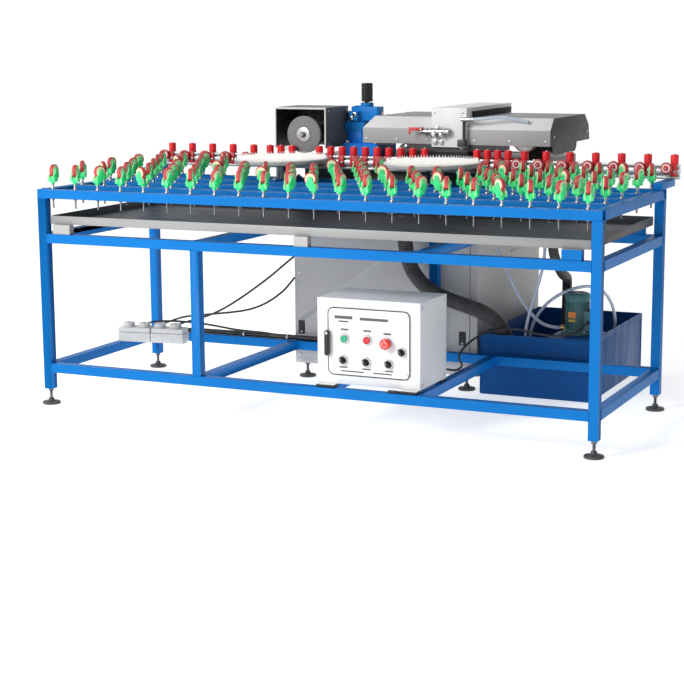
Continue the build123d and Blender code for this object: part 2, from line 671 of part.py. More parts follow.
def centre_cover():
    """Tall cover over the crossing point, and the dark seal strip along its right side."""
    z_range = (BED_TOP + 56, CENTRE_COVER_Z[1])
    body = shell(CENTRE_COVER_X, (1048, 1628), z_range, COVER_SHEET, ["-Z"])
    passage = block((CENTRE_COVER_X[0] - 1, CENTRE_COVER_X[1] + 1), (COVER_Y[0] + 5, 1170), (z_range[0] - 1, 1138))
    body -= passage
    strip = block((CENTRE_COVER_X[1], CENTRE_COVER_X[1] + 9), (1112, 1600), (COVER_Z[2], COVER_Z[2] + 26))
    return [body, strip]


def right_cover():
    """The right cover and the rounded skirt below its end wall."""
    end = RIGHT_COVER_X[1]
    skirt = block((end - 3, end), (1092, 1436), (1012, COVER_Z[0]))
    skirt = fillet(skirt.edges().filter_by(Axis.X).group_by(Axis.Z)[0], 38)
    return [long_cover(RIGHT_COVER_X, False), skirt]


VALVE_Z = 1108.0
VALVE_Y = 1028.0
LEVER_X = 1292.0


def water_valve():
    """Steel valve block, its two bolts, the fittings, and the pipe at the cover's right edge."""
    body = rod((1318, VALVE_Y, VALVE_Z), "X", 96, 12)
    for x, length in ((1312, 8), (1338, 14), (1366, 22), (1404, 12)):
        body += rod((x, VALVE_Y, VALVE_Z), "X", length, 17)
    body += rod((1377, VALVE_Y - 2, VALVE_Z), "Y", 22, 13)
    body += rod((LEVER_X - 8, VALVE_Y, VALVE_Z), "X", 30, 9)
    body += rod((LEVER_X, VALVE_Y - 8, VALVE_Z + 11), "Y", 16, 10)
    bolts = [rod((x, 1040, 1062), "Y", 8, 8) for x in (1346, 1374)]
    pipe_x, pipe_y = 1482.0, 1034.0
    pipe = rod((pipe_x, pipe_y, 1058), "Z", 104, 6)
    lower = block((1458, 1492), (1018, 1048), (1046, 1076))
    upper = rod((1470, pipe_y, HEAD_HOSE[0][2]), "X", HEAD_HOSE[0][0] - 1470, 11)
    foot_block = block((1474, 1490), (1040, 1048), (1150, 1176))
    return [body, *bolts, pipe + lower + upper + foot_block]


def valve_lever():
    """Flat lever with a turned-down end, on the boss at the left end of the valve."""
    bar = block((LEVER_X - 58, LEVER_X + 6), (VALVE_Y - 14, VALVE_Y - 10), (VALVE_Z + 4, VALVE_Z + 18))
    bar += block((LEVER_X - 58, LEVER_X - 50), (VALVE_Y - 14, VALVE_Y - 10), (VALVE_Z - 12, VALVE_Z + 5))
    hub = rod((LEVER_X, VALVE_Y - 18, VALVE_Z + 11), "Y", 9.8, 7)
    return bar + hub


# ---- tank and pump ----
PUMP_X, PUMP_Y = 1995.0, 1052.0
FLANGE_TOP = 276.0


def water_tank():
    tank = shell(TANK_X, TANK_Y, (0.0, TANK_TOP), TANK_SHEET, ["+Z"])
    return [tank]


def pump():
    """Immersion pump: motor above a flange on a cross plate, pump body hanging in the tank."""
    plate = block((PUMP_X - 85, TANK_X[1]), (TANK_Y[0], PUMP_Y + 80), (TANK_TOP, TANK_TOP + 4))
    flange = rod((PUMP_X, PUMP_Y, TANK_TOP + 4), "Z", FLANGE_TOP - TANK_TOP - 4, 68)
    motor = rod((PUMP_X, PUMP_Y, FLANGE_TOP), "Z", 140, 52)
    cowl = rod((PUMP_X, PUMP_Y, FLANGE_TOP + 140), "Z", 28, 54)
    cowl = fillet(cowl.edges().group_by(Axis.Z)[-1], 14)
    junction = block((PUMP_X + 40, PUMP_X + 76), (PUMP_Y - 34, PUMP_Y + 34), (FLANGE_TOP + 12, FLANGE_TOP + 92))
    stem = rod((PUMP_X, PUMP_Y, 70), "Z", TANK_TOP - 70, 38)
    outlet_end = LEFT_TUBE[0]
    outlet = rod((outlet_end[0], outlet_end[1], outlet_end[2]), "X", PUMP_X - 62 - outlet_end[0] + 12, 10)
    return [plate, flange + motor + cowl + junction + outlet, stem]


# ---- socket boxes ----
SOCKET_ORIGIN = (24.0, 540.0)
SOCKET_TURN = 9.5
SOCKET_BASE = LOW_RAIL_TOP + 5
MODULE = (154.0, 78.0, 62.0)
PLUG_PITCH = 74.0


def socket_boxes():
    """Two socket modules on a flat bar, with four round plugs pushed in from above."""
    place = Pos(SOCKET_ORIGIN[0], SOCKET_ORIGIN[1], 0) * Rot(0, 0, SOCKET_TURN)
    solids = []
    base = SOCKET_BASE
    for number in range(2):
        x = number * (MODULE[0] + 2)
        module = block((x, x + MODULE[0]), (0, MODULE[1]), (base, base + MODULE[2]))
        solids.append(place * fillet(module.edges().filter_by(Axis.Z), 5))
    bar = block((4, 2 * MODULE[0]), (20, 58), (LOW_RAIL_TOP, base))
    solids.append(place * bar)
    for number in range(4):
        plug = rod((40 + number * PLUG_PITCH, 40, base + MODULE[2]), "Z", 20, 26)
        solids.append(place * chamfer(plug.edges().group_by(Axis.Z)[-1], 3))
    return solids


def socket_point(along, across, height):
    """A point given along and across the turned socket modules."""
    turn = math.radians(SOCKET_TURN)
    x = SOCKET_ORIGIN[0] + along * math.cos(turn) - across * math.sin(turn)
    y = SOCKET_ORIGIN[1] + along * math.sin(turn) + across * math.cos(turn)
    return x, y, SOCKET_BASE + height


def plug_exit(number, reach):
    """A point straight behind a plug, reach millimetres out of its rim, where its cable leaves."""
    return socket_point(40 + number * PLUG_PITCH, 66 + reach, MODULE[2] + 10)


# ---- hoses and cables: each route is a list of points in working coordinates ----
LARGE_HOSE = [
    (1306, 800, 722), (1306, 800, 622), (1342, 806, 518), (1424, 816, 440), (1536, 836, 400),
    (1632, 888, 362), (1692, 950, 292), (1716, 982, 196), (1720, 988, 104),
]
SMALL_HOSE = [
    (1956, 812, 722), (1956, 812, 648), (1972, 844, 580), (1974, 908, 532), (1958, 1002, 516),
    (1936, 1090, 490), (1914, 1158, 424), (1904, 1188, 332), (1900, 1196, 236), (1899, 1198, 146),
]
LEFT_TUBE = [
    (1920, 1052, 285), (1872, 1052, 285), (1828, 1040, 306), (1786, 1018, 356), (1738, 1004, 436),
    (1690, 1000, 535), (1644, 1004, 624), (1622, 1046, 696), (1628, 1096, 742), (1636, 1126, 784),
    (1640, 1140, 824), (1640, 1140, 860),
]
RIGHT_TUBE = [
    (1784, 976, 110), (1786, 976, 220), (1798, 976, 330), (1832, 978, 436), (1860, 982, 540),
    (1866, 1000, 630), (1842, 1044, 700), (1806, 1092, 750), (1780, 1126, 784), (1770, 1140, 822),
    (1770, 1140, 860),
]
RETURN_TUBE = [
    (1774, 1064, 110), (1777, 1063, 215), (1798, 1060, 308), (1852, 1048, 382), (1918, 1034, 432),
    (1980, 1040, 460), (2024, 1078, 468), (2050, 1136, 456), (2066, 1218, 422), (2074, 1300, 366),
    (2074, 1362, 286), (2060, 1390, 194), (2044, 1398, 108),
]
PUMP_CABLE = [
    (2053, 1018, 320), (2053, 984, 320), (2040, 950, 298), (1998, 924, 278), (1936, 914, 271),
    (1864, 912, 276), (1796, 906, 292), (1730, 900, 292), (1664, 888, 280), (1606, 860, 254),
    (1576, 812, 220), (1574, 750, 196), (1600, 686, 185), (1640, 620, 182), (1660, 548, 182),
    (1664, 482, 184), (1650, 428, 196), (1628, 392, 212), (1614, 358, 222), (1614, 322, 222),
]
PLUG_CABLE_1 = [
    plug_exit(3, 0), plug_exit(3, 32), (276, 718, 256), (316, 744, 266), (374, 756, 286),
    (438, 764, 316), (507, 794, 362), (566, 834, 410), (625, 870, 460), (669, 893, 502),
    (697, 922, 532), (708, 952, 548), (708, 984, 548),
]
PLUG_CABLE_2 = [
    plug_exit(2, 0), plug_exit(2, 36), (206, 708, 258), (248, 722, 274), (306, 716, 286),
    (372, 706, 296), (436, 712, 304), (500, 742, 310), (556, 786, 317), (602, 830, 334),
    (644, 868, 363), (680, 900, 398), (700, 932, 434), (708, 964, 456), (708, 1000, 456),
]
PLUG_CABLE_3 = [
    plug_exit(1, 0), plug_exit(1, 34), (134, 694, 252), (186, 720, 254), (256, 738, 252),
    (330, 756, 246), (400, 786, 233), (458, 826, 216), (520, 860, 206), (590, 878, 202),
    (640, 882, 196),
]
CABLE_BUNDLE = [
    socket_point(95, 78, 26), socket_point(95, 121, 26), (108, 740, 202), (130, 800, 196),
    (176, 852, 190), (245, 880, 188.5), (340, 888, 188), (480, 890, 188), (640, 889, 188),
    (800, 891, 188), (950, 890, 188), (1080, 880, 188), (1180, 846, 188.5), (1244, 784, 189),
    (1272, 704, 190), (1281, 600, 189), (1284, 500, 190), (1284, 424, 198), (1284, 368, 212),
    (1284, 328, 212),
]
HEAD_HOSE = [
    (1512, 1034, 1163), (1552, 1034, 1163), (1622, 1046, 1173), (1692, 1062, 1169), (1758, 1074, 1153),
]


def cord(name, points, diameter):
    """A round tube along straight runs joined by arcs as large as the runs allow."""
    vectors = [Vector(*point) for point in points]
    runs = [(b - a) for a, b in zip(vectors, vectors[1:])]
    radii = []
    for before, after in zip(runs, runs[1:]):
        half_turn = math.radians(before.get_angle(after)) / 2
        radii.append(0.45 * min(before.length, after.length) / math.tan(half_turn))
    path = FilletPolyline(*vectors, radius=radii)
    section = Plane(vectors[0], z_dir=runs[0]) * Circle(diameter / 2)
    tube = sweep(section, path=path)
    expected = math.pi * diameter ** 2 / 4 * path.length
    print(
        name, "runs", [round(run.length) for run in runs], "radii", [round(r) for r in radii],
        "least radius in diameters", round(min(radii) / diameter, 1), "length", round(path.length),
        "volume ratio", round(tube.volume / expected, 4),
    )
    return tube


CORDS = (
    ("drain_hose_large", LARGE_HOSE, 66.0),
    ("drain_hose_small", SMALL_HOSE, 42.0),
    ("water_tube_left", LEFT_TUBE, 14.0),
    ("water_tube_right", RIGHT_TUBE, 14.0),
    ("return_tube", RETURN_TUBE, 14.0),
    ("pump_cable", PUMP_CABLE, 9.0),
    ("plug_cable_1", PLUG_CABLE_1, 9.0),
    ("plug_cable_2", PLUG_CABLE_2, 9.0),
    ("plug_cable_3", PLUG_CABLE_3, 9.0),
    ("cable_bundle", CABLE_BUNDLE, 22.0),
    ("head_hose", HEAD_HOSE, 15.0),
)

NODES = {
    "table_frame": table_frame(),
    "top_frame": top_frame(),
    "levelling_feet": levelling_feet(),
    "drip_tray": drip_tray(),
    "rear_brackets": rear_brackets(),
    "fence_rail": fence_rail(),
    "brush_disc_left": [brush_disc(DISC_CENTRES_X[0])],
    "brush_disc_right": [brush_disc(DISC_CENTRES_X[1])],
    "cabinet_body": cabinet_body(),
    "cabinet_latches": cabinet_latches(),
    "control_box": control_box(),
    "control_door": [control_door()],
    "start_button": [push_button(CONTROL_X[0])],
    "stop_button": [push_button(CONTROL_X[1])],
    "emergency_stop": [emergency_stop()],
    "door_handle": [door_handle()],
    "slide_column": slide_column(),
    "slide_head": [slide_head()],
    "adjusting_grip": [adjusting_grip()],
    "wheel_guard": [wheel_guard()],
    "spindle_motor": [spindle_motor()],
    "grinding_wheel": [grinding_wheel()],
    "grinder_bed": grinder_bed(),
    "idler_drum": [drum(IDLER_X)],
    "drive_drum": [drum(DRIVE_X)],
    "abrasive_belt": [abrasive_belt()],
    "belt_motor": [belt_motor()],
    "left_belt_cover": [long_cover(LEFT_COVER_X, True)],
    "right_belt_cover": right_cover(),
    "centre_cover": centre_cover(),
    "water_valve": water_valve(),
    "valve_lever": [valve_lever()],
    "water_tank": water_tank(),
    "pump": pump(),
    "socket_boxes": socket_boxes(),
}
NODES.update(caster_groups())
NODES.update(fence_groups())
for number, (switch_x, switch_z) in enumerate(SELECTOR_PLACES, start=1):
    NODES[f"selector_switch_{number}"] = [selector_switch(switch_x, switch_z)]
for cord_name, route, cord_diameter in CORDS:
    NODES[cord_name] = [cord(cord_name, route, cord_diameter)]

for node_name, node_solids in NODES.items():
    write(node_name, node_solids)
print(len(NODES), "nodes")
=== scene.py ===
import itertools
import random
from math import cos, hypot, pi, radians, sin, sqrt

import bmesh
import bpy
from mathutils import Matrix, Vector


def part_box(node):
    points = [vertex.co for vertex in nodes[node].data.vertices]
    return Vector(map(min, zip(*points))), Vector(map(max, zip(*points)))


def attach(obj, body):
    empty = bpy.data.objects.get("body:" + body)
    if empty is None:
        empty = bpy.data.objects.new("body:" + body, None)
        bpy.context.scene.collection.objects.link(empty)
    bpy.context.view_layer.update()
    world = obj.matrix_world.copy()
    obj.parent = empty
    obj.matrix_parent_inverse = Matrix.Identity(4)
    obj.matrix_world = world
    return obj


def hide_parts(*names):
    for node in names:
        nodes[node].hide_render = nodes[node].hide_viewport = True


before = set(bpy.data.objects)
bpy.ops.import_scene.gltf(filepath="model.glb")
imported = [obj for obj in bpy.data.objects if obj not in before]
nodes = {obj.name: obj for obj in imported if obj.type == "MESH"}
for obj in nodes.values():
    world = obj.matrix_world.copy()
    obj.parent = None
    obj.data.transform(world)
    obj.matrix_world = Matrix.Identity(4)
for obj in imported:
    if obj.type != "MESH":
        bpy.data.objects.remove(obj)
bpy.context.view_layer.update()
random.seed(11)

# Looks of a glass edge grinding machine. Shapes are written in the part's working millimetres:
# X from the table's left end, Y from its front face, Z from the floor. TO_FRAME turns them into
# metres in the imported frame.
MACHINE = "machine"
TABLE_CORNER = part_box("top_frame")[0]
TO_FRAME = Matrix.Translation((TABLE_CORNER.x, TABLE_CORNER.y, 0.0)) @ Matrix.Scale(0.001, 4)
SMOOTH_ANGLE = radians(38)
SHARP_ANGLE = radians(30)


def limits(node):
    """A CAD node's least and greatest X, Y and Z, in working millimetres."""
    corners = [TO_FRAME.inverted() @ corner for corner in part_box(node)]
    return [tuple(round(corner[axis], 1) for corner in corners) for axis in range(3)]


def middle(span):
    return (span[0] + span[1]) / 2


# ---- node materials ----
def give(node, **values):
    """Sets a node's inputs by name; an underscore stands for a space."""
    for name, value in values.items():
        node.inputs[name.replace("_", " ")].default_value = value


class NodeTree:
    """The steps that a material and the world share."""

    def __init__(self, tree):
        self.tree = tree

    def node(self, kind, **settings):
        made = self.tree.nodes.new(kind)
        for key, value in settings.items():
            setattr(made, key, value)
        return made

    def link(self, source, target):
        self.tree.links.new(source, target)

    def remap(self, value, low, high, out_low=0.0, out_high=1.0):
        made = self.node("ShaderNodeMapRange")
        give(made, From_Min=low, From_Max=high, To_Min=out_low, To_Max=out_high)
        self.link(value, made.inputs["Value"])
        return made.outputs["Result"]

    def times(self, first, second):
        made = self.node("ShaderNodeMath", operation="MULTIPLY")
        self.link(first, made.inputs[0])
        self.link(second, made.inputs[1])
        return made.outputs["Value"]


class Finish(NodeTree):
    """A node material under construction: a Principled shader and the textures that feed it."""

    def __init__(self, name, roughness, metallic=0.0):
        self.material = bpy.data.materials.new(name)
        self.material.use_nodes = True
        super().__init__(self.material.node_tree)
        self.shader = self.tree.nodes["Principled BSDF"]
        self.set(Roughness=roughness, Metallic=metallic)
        self.place = self.node("ShaderNodeTexCoord").outputs["Object"]

    def set(self, **values):
        give(self.shader, **values)

    def stretched(self, scale):
        mapping = self.node("ShaderNodeMapping")
        give(mapping, Scale=scale)
        self.link(self.place, mapping.inputs["Vector"])
        return mapping.outputs["Vector"]

    def noise(self, scale, detail=3.0, rough=0.55, vector=None, distortion=0.0):
        made = self.node("ShaderNodeTexNoise")
        give(made, Scale=scale, Detail=detail, Roughness=rough, Distortion=distortion)
        self.link(vector or self.place, made.inputs["Vector"])
        return made.outputs["Fac"]

    def cells(self, scale):
        made = self.node("ShaderNodeTexVoronoi")
        give(made, Scale=scale)
        self.link(self.place, made.inputs["Vector"])
        return made.outputs["Distance"]

    def mixed(self, factor, first, second):
        """Blends two colours, each a tuple or a socket."""
        made = self.node("ShaderNodeMix", data_type="RGBA")
        self.link(factor, made.inputs["Factor"])
        for socket, colour in ((made.inputs["A"], first), (made.inputs["B"], second)):
            if isinstance(colour, tuple):
                socket.default_value = (*colour, 1.0)
            else:
                self.link(colour, socket)
        return made.outputs["Result"]

    def tones(self, factor, first, second):
        self.colour(self.mixed(factor, first, second))

    def uneven(self, scale, detail, low, high):
        """A roughness that drifts from low to high over the surface."""
        self.roughness(self.remap(self.noise(scale, detail), 0.3, 0.7, low, high))

    def grained(self, scale, detail, strength, distance):
        self.bump(self.noise(scale, detail), strength, distance)

    def attribute(self, name):
        return self.node("ShaderNodeAttribute", attribute_name=name).outputs["Fac"]

    def colour(self, source):
        self.link(source, self.shader.inputs["Base Color"])

    def roughness(self, source):
        self.link(source, self.shader.inputs["Roughness"])

    def bump(self, height, strength, distance):
        made = self.node("ShaderNodeBump")
        give(made, Strength=strength, Distance=distance)
        self.link(height, made.inputs["Height"])
        before = self.shader.inputs["Normal"]
        if before.is_linked:
            self.link(before.links[0].from_socket, made.inputs["Normal"])
        self.link(made.outputs["Normal"], before)


def shade(colour, factor):
    return tuple(min(1.0, channel * factor) for channel in colour)


def powder_coat(name, colour, roughness=0.38, peel=0.12, dusty=0.2, coat=0.0, shine=0.5):
    """Sprayed coat: a slow drift of tone, orange peel, faint dust and edges rubbed thin."""
    finish = Finish(name, roughness)
    drift = finish.remap(finish.noise(2.2, 4.0), 0.35, 0.65)
    body = finish.mixed(drift, shade(colour, 0.93), shade(colour, 1.05))
    dust = finish.remap(finish.noise(28.0, 6.0, 0.7), 0.56, 0.8, 0.0, dusty)
    body = finish.mixed(dust, body, tuple(0.5 * channel + 0.12 for channel in colour))
    rub = finish.remap(finish.noise(160.0, 4.0), 0.5, 0.62)
    edge = finish.times(finish.attribute("edge"), rub)
    finish.tones(edge, body, tuple(min(1.0, 0.66 * channel + 0.16) for channel in colour))
    finish.uneven(60.0, 5.0, roughness - 0.07, roughness + 0.1)
    finish.grained(420.0, 2.0, peel, 0.0006)
    finish.set(Specular_IOR_Level=shine)
    if coat:
        finish.set(Coat_Weight=coat, Coat_Roughness=0.12)
    return finish.material


def hammered_black():
    finish = Finish("black_hammer_paint", 0.5)
    finish.set(Specular_IOR_Level=0.25)
    cells = finish.cells(260.0)
    tone = finish.remap(cells, 0.0, 0.6)
    finish.tones(tone, (0.100, 0.100, 0.101), (0.190, 0.190, 0.192))
    finish.bump(cells, 0.35, 0.0008)
    return finish.material


def wet_black():
    """The guard's inside: black paint spattered with pale dried slurry."""
    finish = Finish("slurried_black_paint", 0.5)
    blots = finish.remap(finish.noise(55.0, 8.0, 0.75), 0.5, 0.68)
    finish.tones(blots, (0.014, 0.014, 0.015), (0.16, 0.16, 0.155))
    finish.bump(blots, 0.4, 0.0008)
    return finish.material


def brushed(name, colour, roughness=0.3, grain=(4.0, 260.0, 260.0), metallic=1.0):
    """Drawn or machined metal with its grain along X unless told otherwise."""
    finish = Finish(name, roughness, metallic)
    lines = finish.noise(1.0, 5.0, 0.6, finish.stretched(grain))
    stain = finish.remap(finish.noise(9.0, 5.0), 0.42, 0.7)
    body = finish.mixed(lines, shade(colour, 0.86), shade(colour, 1.06))
    finish.tones(stain, body, shade(colour, 0.82))
    finish.roughness(finish.remap(lines, 0.25, 0.75, roughness - 0.06, roughness + 0.12))
    finish.bump(lines, 0.08, 0.0004)
    return finish.material


def polished(name, colour, roughness=0.12):
    finish = Finish(name, roughness, 1.0)
    smear = finish.noise(70.0, 4.0)
    finish.tones(smear, shade(colour, 0.9), shade(colour, 1.0))
    finish.roughness(finish.remap(smear, 0.3, 0.8, roughness, roughness + 0.14))
    return finish.material


def casting(name, colour, roughness=0.42):
    """Sand casting under enamel: coarse pits under a glossy coat."""
    finish = Finish(name, roughness)
    grain = finish.noise(180.0, 6.0, 0.65)
    drift = finish.remap(finish.noise(14.0, 3.0), 0.35, 0.65)
    finish.tones(drift, shade(colour, 0.84), shade(colour, 1.12))
    finish.roughness(finish.remap(grain, 0.3, 0.7, roughness - 0.1, roughness + 0.12))
    finish.bump(grain, 0.5, 0.001)
    finish.set(Specular_IOR_Level=0.2, Coat_Weight=0.12, Coat_Roughness=0.2)
    return finish.material


def moulded(name, colour, roughness=0.32, spark=0.05, subsurface=0.0):
    """Moulded plastic with a fine erosion texture and slight flow marks."""
    finish = Finish(name, roughness)
    flow = finish.remap(finish.noise(35.0, 3.0, 0.5, distortion=0.6), 0.3, 0.7)
    finish.tones(flow, shade(colour, 0.92), shade(colour, 1.05))
    finish.uneven(240.0, 3.0, roughness - 0.06, roughness + 0.08)
    finish.grained(900.0, 2.0, spark, 0.0003)
    finish.set(Subsurface_Weight=subsurface, Subsurface_Scale=0.004)
    return finish.material


def rubbery(name, colour, roughness=0.62):
    finish = Finish(name, roughness)
    bloom = finish.remap(finish.noise(22.0, 6.0, 0.7), 0.42, 0.72)
    finish.tones(bloom, colour, shade(tuple(c + 0.03 for c in colour), 1.2))
    finish.uneven(120.0, 4.0, roughness - 0.1, roughness + 0.12)
    finish.grained(520.0, 4.0, 0.12, 0.0004)
    return finish.material


def grinding_grit():
    """Resin-bonded abrasive: tightly packed grains of uneven tone."""
    finish = Finish("grinding_grit", 0.85)
    grains = finish.cells(900.0)
    clumps = finish.noise(300.0, 6.0, 0.8)
    body = finish.mixed(finish.remap(grains, 0.1, 0.7), (0.30, 0.30, 0.31), (0.17, 0.17, 0.175))
    finish.tones(finish.remap(clumps, 0.52, 0.7), body, (0.48, 0.48, 0.48))
    finish.bump(grains, 0.7, 0.0008)
    return finish.material


def belt_grit():
    finish = Finish("belt_grit", 0.9)
    grains = finish.cells(1200.0)
    finish.tones(finish.remap(grains, 0.1, 0.6), (0.30, 0.13, 0.06), (0.10, 0.045, 0.025))
    finish.bump(grains, 0.8, 0.0006)
    return finish.material


def tray_sheet():
    """The tray's floor: dark wet sheet with tide marks and pale glass slurry."""
    finish = Finish("tray_floor_sheet", 0.5)
    tide = finish.noise(3.4, 8.0, 0.62, distortion=1.2)
    marks = finish.remap(tide, 0.5, 0.62)
    body = finish.mixed(marks, (0.078, 0.078, 0.078), (0.105, 0.105, 0.103))
    slurry = finish.remap(finish.noise(70.0, 8.0, 0.75), 0.6, 0.82, 0.0, 0.5)
    finish.tones(slurry, body, (0.17, 0.17, 0.165))
    finish.roughness(finish.remap(tide, 0.35, 0.7, 0.42, 0.62))
    finish.grained(45.0, 6.0, 0.1, 0.0006)
    return finish.material


def tank_paint(name, colour, chalk):
    """Roller-painted tank: chalky scuffs, runs and rubbed edges."""
    finish = Finish(name, 0.44)
    runs = finish.noise(1.0, 6.0, 0.6, finish.stretched((26.0, 26.0, 3.0)))
    scuffs = finish.remap(finish.noise(16.0, 9.0, 0.78), 0.56, 0.74, 0.0, chalk)
    body = finish.mixed(runs, shade(colour, 0.86), shade(colour, 1.14))
    body = finish.mixed(scuffs, body, (0.20, 0.33, 0.52))
    edge = finish.times(finish.attribute("edge"), finish.remap(finish.noise(110.0, 5.0), 0.42, 0.55))
    finish.tones(edge, body, (0.36, 0.47, 0.62))
    finish.roughness(finish.remap(runs, 0.3, 0.7, 0.34, 0.56))
    finish.grained(130.0, 5.0, 0.16, 0.0008)
    finish.set(Specular_IOR_Level=0.15)
    return finish.material


def clear_hose():
    """Flexible clear hose with a bluish cast, milky in patches."""
    finish = Finish("clear_hose", 0.16)
    milk = finish.noise(60.0, 4.0)
    finish.tones(milk, (0.58, 0.66, 0.86), (0.80, 0.85, 0.95))
    finish.set(Transmission_Weight=0.3, IOR=1.38, Coat_Weight=0.4)
    finish.grained(200.0, 3.0, 0.06, 0.0004)
    return finish.material


def clear_lip():
    finish = Finish("clear_splash_lip", 0.1)
    finish.tones(finish.noise(90.0, 5.0), (0.80, 0.84, 0.86), (0.95, 0.97, 0.98))
    finish.set(Transmission_Weight=0.85, IOR=1.3)
    return finish.material


def glowing_bristle_nylon():
    finish = Finish("glowing_bristle_nylon", 0.5)
    tips = finish.noise(300.0, 3.0)
    finish.tones(tips, (0.82, 0.81, 0.79), (0.97, 0.96, 0.94))
    # The emission is painted light: it makes the bristles glow, lifting them out of their own shade
    finish.set(Subsurface_Weight=0.15, Subsurface_Scale=0.003, Emission_Color=(1.0, 0.95, 0.93, 1.0),
               Emission_Strength=0.2)
    return finish.material


def coolant_water():
    """Still coolant: dark, slightly milky blue water."""
    finish = Finish("coolant_water", 0.06)
    milk = finish.noise(14.0, 5.0)
    finish.tones(milk, (0.004, 0.030, 0.11), (0.015, 0.060, 0.16))
    finish.grained(30.0, 3.0, 0.08, 0.001)
    return finish.material


def button_gloss(name, colour):
    finish = Finish(name, 0.18)
    wear = finish.remap(finish.noise(120.0, 5.0), 0.5, 0.75)
    finish.tones(wear, colour, shade(colour, 1.25))
    finish.set(Coat_Weight=0.6)
    finish.uneven(160.0, 3.0, 0.14, 0.3)
    return finish.material


AZURE = powder_coat("azure_powder_coat", (0.001, 0.168, 0.53), 0.42, 0.12, 0.02, shine=0.14)
PALE_BLOCK = powder_coat("pale_block_paint", (0.42, 0.42, 0.41), 0.5)
CABINET = powder_coat("cabinet_powder_coat", (0.50, 0.495, 0.485), 0.45, 0.3)
COVER = powder_coat("cover_powder_coat", (0.41, 0.41, 0.41), 0.36, 0.25)
# Lit and shaded copies of the cover grey: the shoulder coat is a painted highlight and the top coat is
# painted shade
COVER_LIT_SHOULDER = powder_coat("cover_shoulder_painted_highlight", (0.76, 0.75, 0.75), 0.36, 0.25)
COVER_TOP = powder_coat("cover_top_painted_shade", (0.27, 0.27, 0.27), 0.5, 0.25)
COVER_END = powder_coat("cover_end_coat", (0.042, 0.042, 0.043), 0.5, 0.15, 0.04, shine=0.3)
WHITE_COAT = powder_coat("white_powder_coat", (0.80, 0.80, 0.80), 0.4, 0.2, coat=0.1)
DARK_COAT = powder_coat("dark_grey_paint", (0.045, 0.045, 0.048), 0.42)
TRAY_EDGE = powder_coat("tray_edge_paint", (0.33, 0.33, 0.325), 0.42, 0.2)
TRAY_FLOOR = tray_sheet()
TANK_OUT = tank_paint("tank_outside_paint", (0.001, 0.075, 0.27), 0.05)
TANK_IN = tank_paint("tank_inside_paint", (0.001, 0.060, 0.25), 0.2)
HAMMER = hammered_black()
SLURRIED = wet_black()
HEAD_BLUE = casting("azure_casting", (0.002, 0.20, 0.60))
COLUMN_BLUE = casting("deep_blue_casting", (0.002, 0.21, 0.80))
MOTOR_GREY = casting("grey_casting", (0.055, 0.057, 0.06))
PUMP_TEAL = casting("teal_enamel_casting", (0.09, 0.22, 0.225))
RAIL = brushed("anodised_aluminium", (0.62, 0.63, 0.64), 0.38)
STUD = brushed("oiled_stud_steel", (0.26, 0.26, 0.27), 0.4, (120.0, 120.0, 120.0))
STEEL = brushed("zinc_plated_steel", (0.62, 0.62, 0.63), 0.32, (120.0, 120.0, 120.0))
TURNED = brushed("turned_steel", (0.52, 0.52, 0.53), 0.28, (60.0, 400.0, 60.0))
SILVER = brushed("machined_flange", (0.78, 0.78, 0.79), 0.24, (200.0, 30.0, 200.0))
CHROME = polished("chromed_fitting", (0.62, 0.62, 0.63))
BRASS = polished("brass_fitting", (0.72, 0.50, 0.22), 0.2)
BELT_EDGE = rubbery("belt_cloth", (0.10, 0.06, 0.04), 0.8)
GRIT = grinding_grit()
SAND = belt_grit()
GREEN = moulded("green_moulding", (0.045, 0.86, 0.27), 0.35, subsurface=0.08)
CREAM = moulded("cream_moulding", (0.96, 0.90, 0.62), 0.4)
TYRE_RED = rubbery("red_tyre", (0.52, 0.045, 0.045), 0.5)
ROLLER_RED = moulded("red_roller", (0.86, 0.014, 0.024), 0.4)
BRACKET_RED = powder_coat("red_bracket_enamel", (0.62, 0.014, 0.020), 0.36)
WHITE_HUB = moulded("white_hub", (0.80, 0.77, 0.75), 0.35)
DISC_FACE = moulded("disc_plate", (0.80, 0.80, 0.79), 0.5)
# Darker grey for the brush plate's rim side and underside: painted shade
SHADED_DISC_RIM = rubbery("disc_rim_painted_shade", (0.40, 0.40, 0.40), 0.5)
BRISTLE = glowing_bristle_nylon()
BLACK = moulded("black_moulding", (0.014, 0.014, 0.015), 0.35)
FOOT_BLACK = rubbery("foot_pad", (0.055, 0.055, 0.053), 0.5)
SOCKET_WHITE = moulded("socket_moulding", (0.62, 0.62, 0.61), 0.35, subsurface=0.05)
# Dark for seams, slots and holes; in the open hose end it is painted shade
DARK_SEAM_AND_SHADE = rubbery("dark_seam_and_shade", (0.02, 0.02, 0.02), 0.8)
LINE_GREY = moulded("printed_line", (0.025, 0.025, 0.03), 0.5)
LEGEND = moulded("blank_legend", (0.10, 0.10, 0.105), 0.5)
GREEN_CAP = button_gloss("green_button_cap", (0.02, 0.34, 0.17))
RED_CAP = button_gloss("red_button_cap", (0.55, 0.008, 0.02))
MUSHROOM = button_gloss("red_mushroom_cap", (0.85, 0.025, 0.02))
LEVER_RED = rubbery("red_dipped_lever", (0.60, 0.03, 0.035), 0.35)
PLATE_ORANGE = moulded("orange_caution_plate", (0.75, 0.22, 0.03), 0.4)
PLATE_YELLOW = moulded("yellow_caution_plate", (0.60, 0.45, 0.04), 0.4)
HOSE_GREY = rubbery("grey_suction_hose", (0.038, 0.037, 0.036), 0.55)
HOSE_BLACK = rubbery("black_drain_hose", (0.020, 0.020, 0.020), 0.45)
CABLE = rubbery("black_cable_sheath", (0.012, 0.012, 0.013), 0.42)
TIE = moulded("clear_cable_tie", (0.60, 0.60, 0.58), 0.3)
COOLANT = coolant_water()
CLEAR = clear_hose()
LIP = clear_lip()


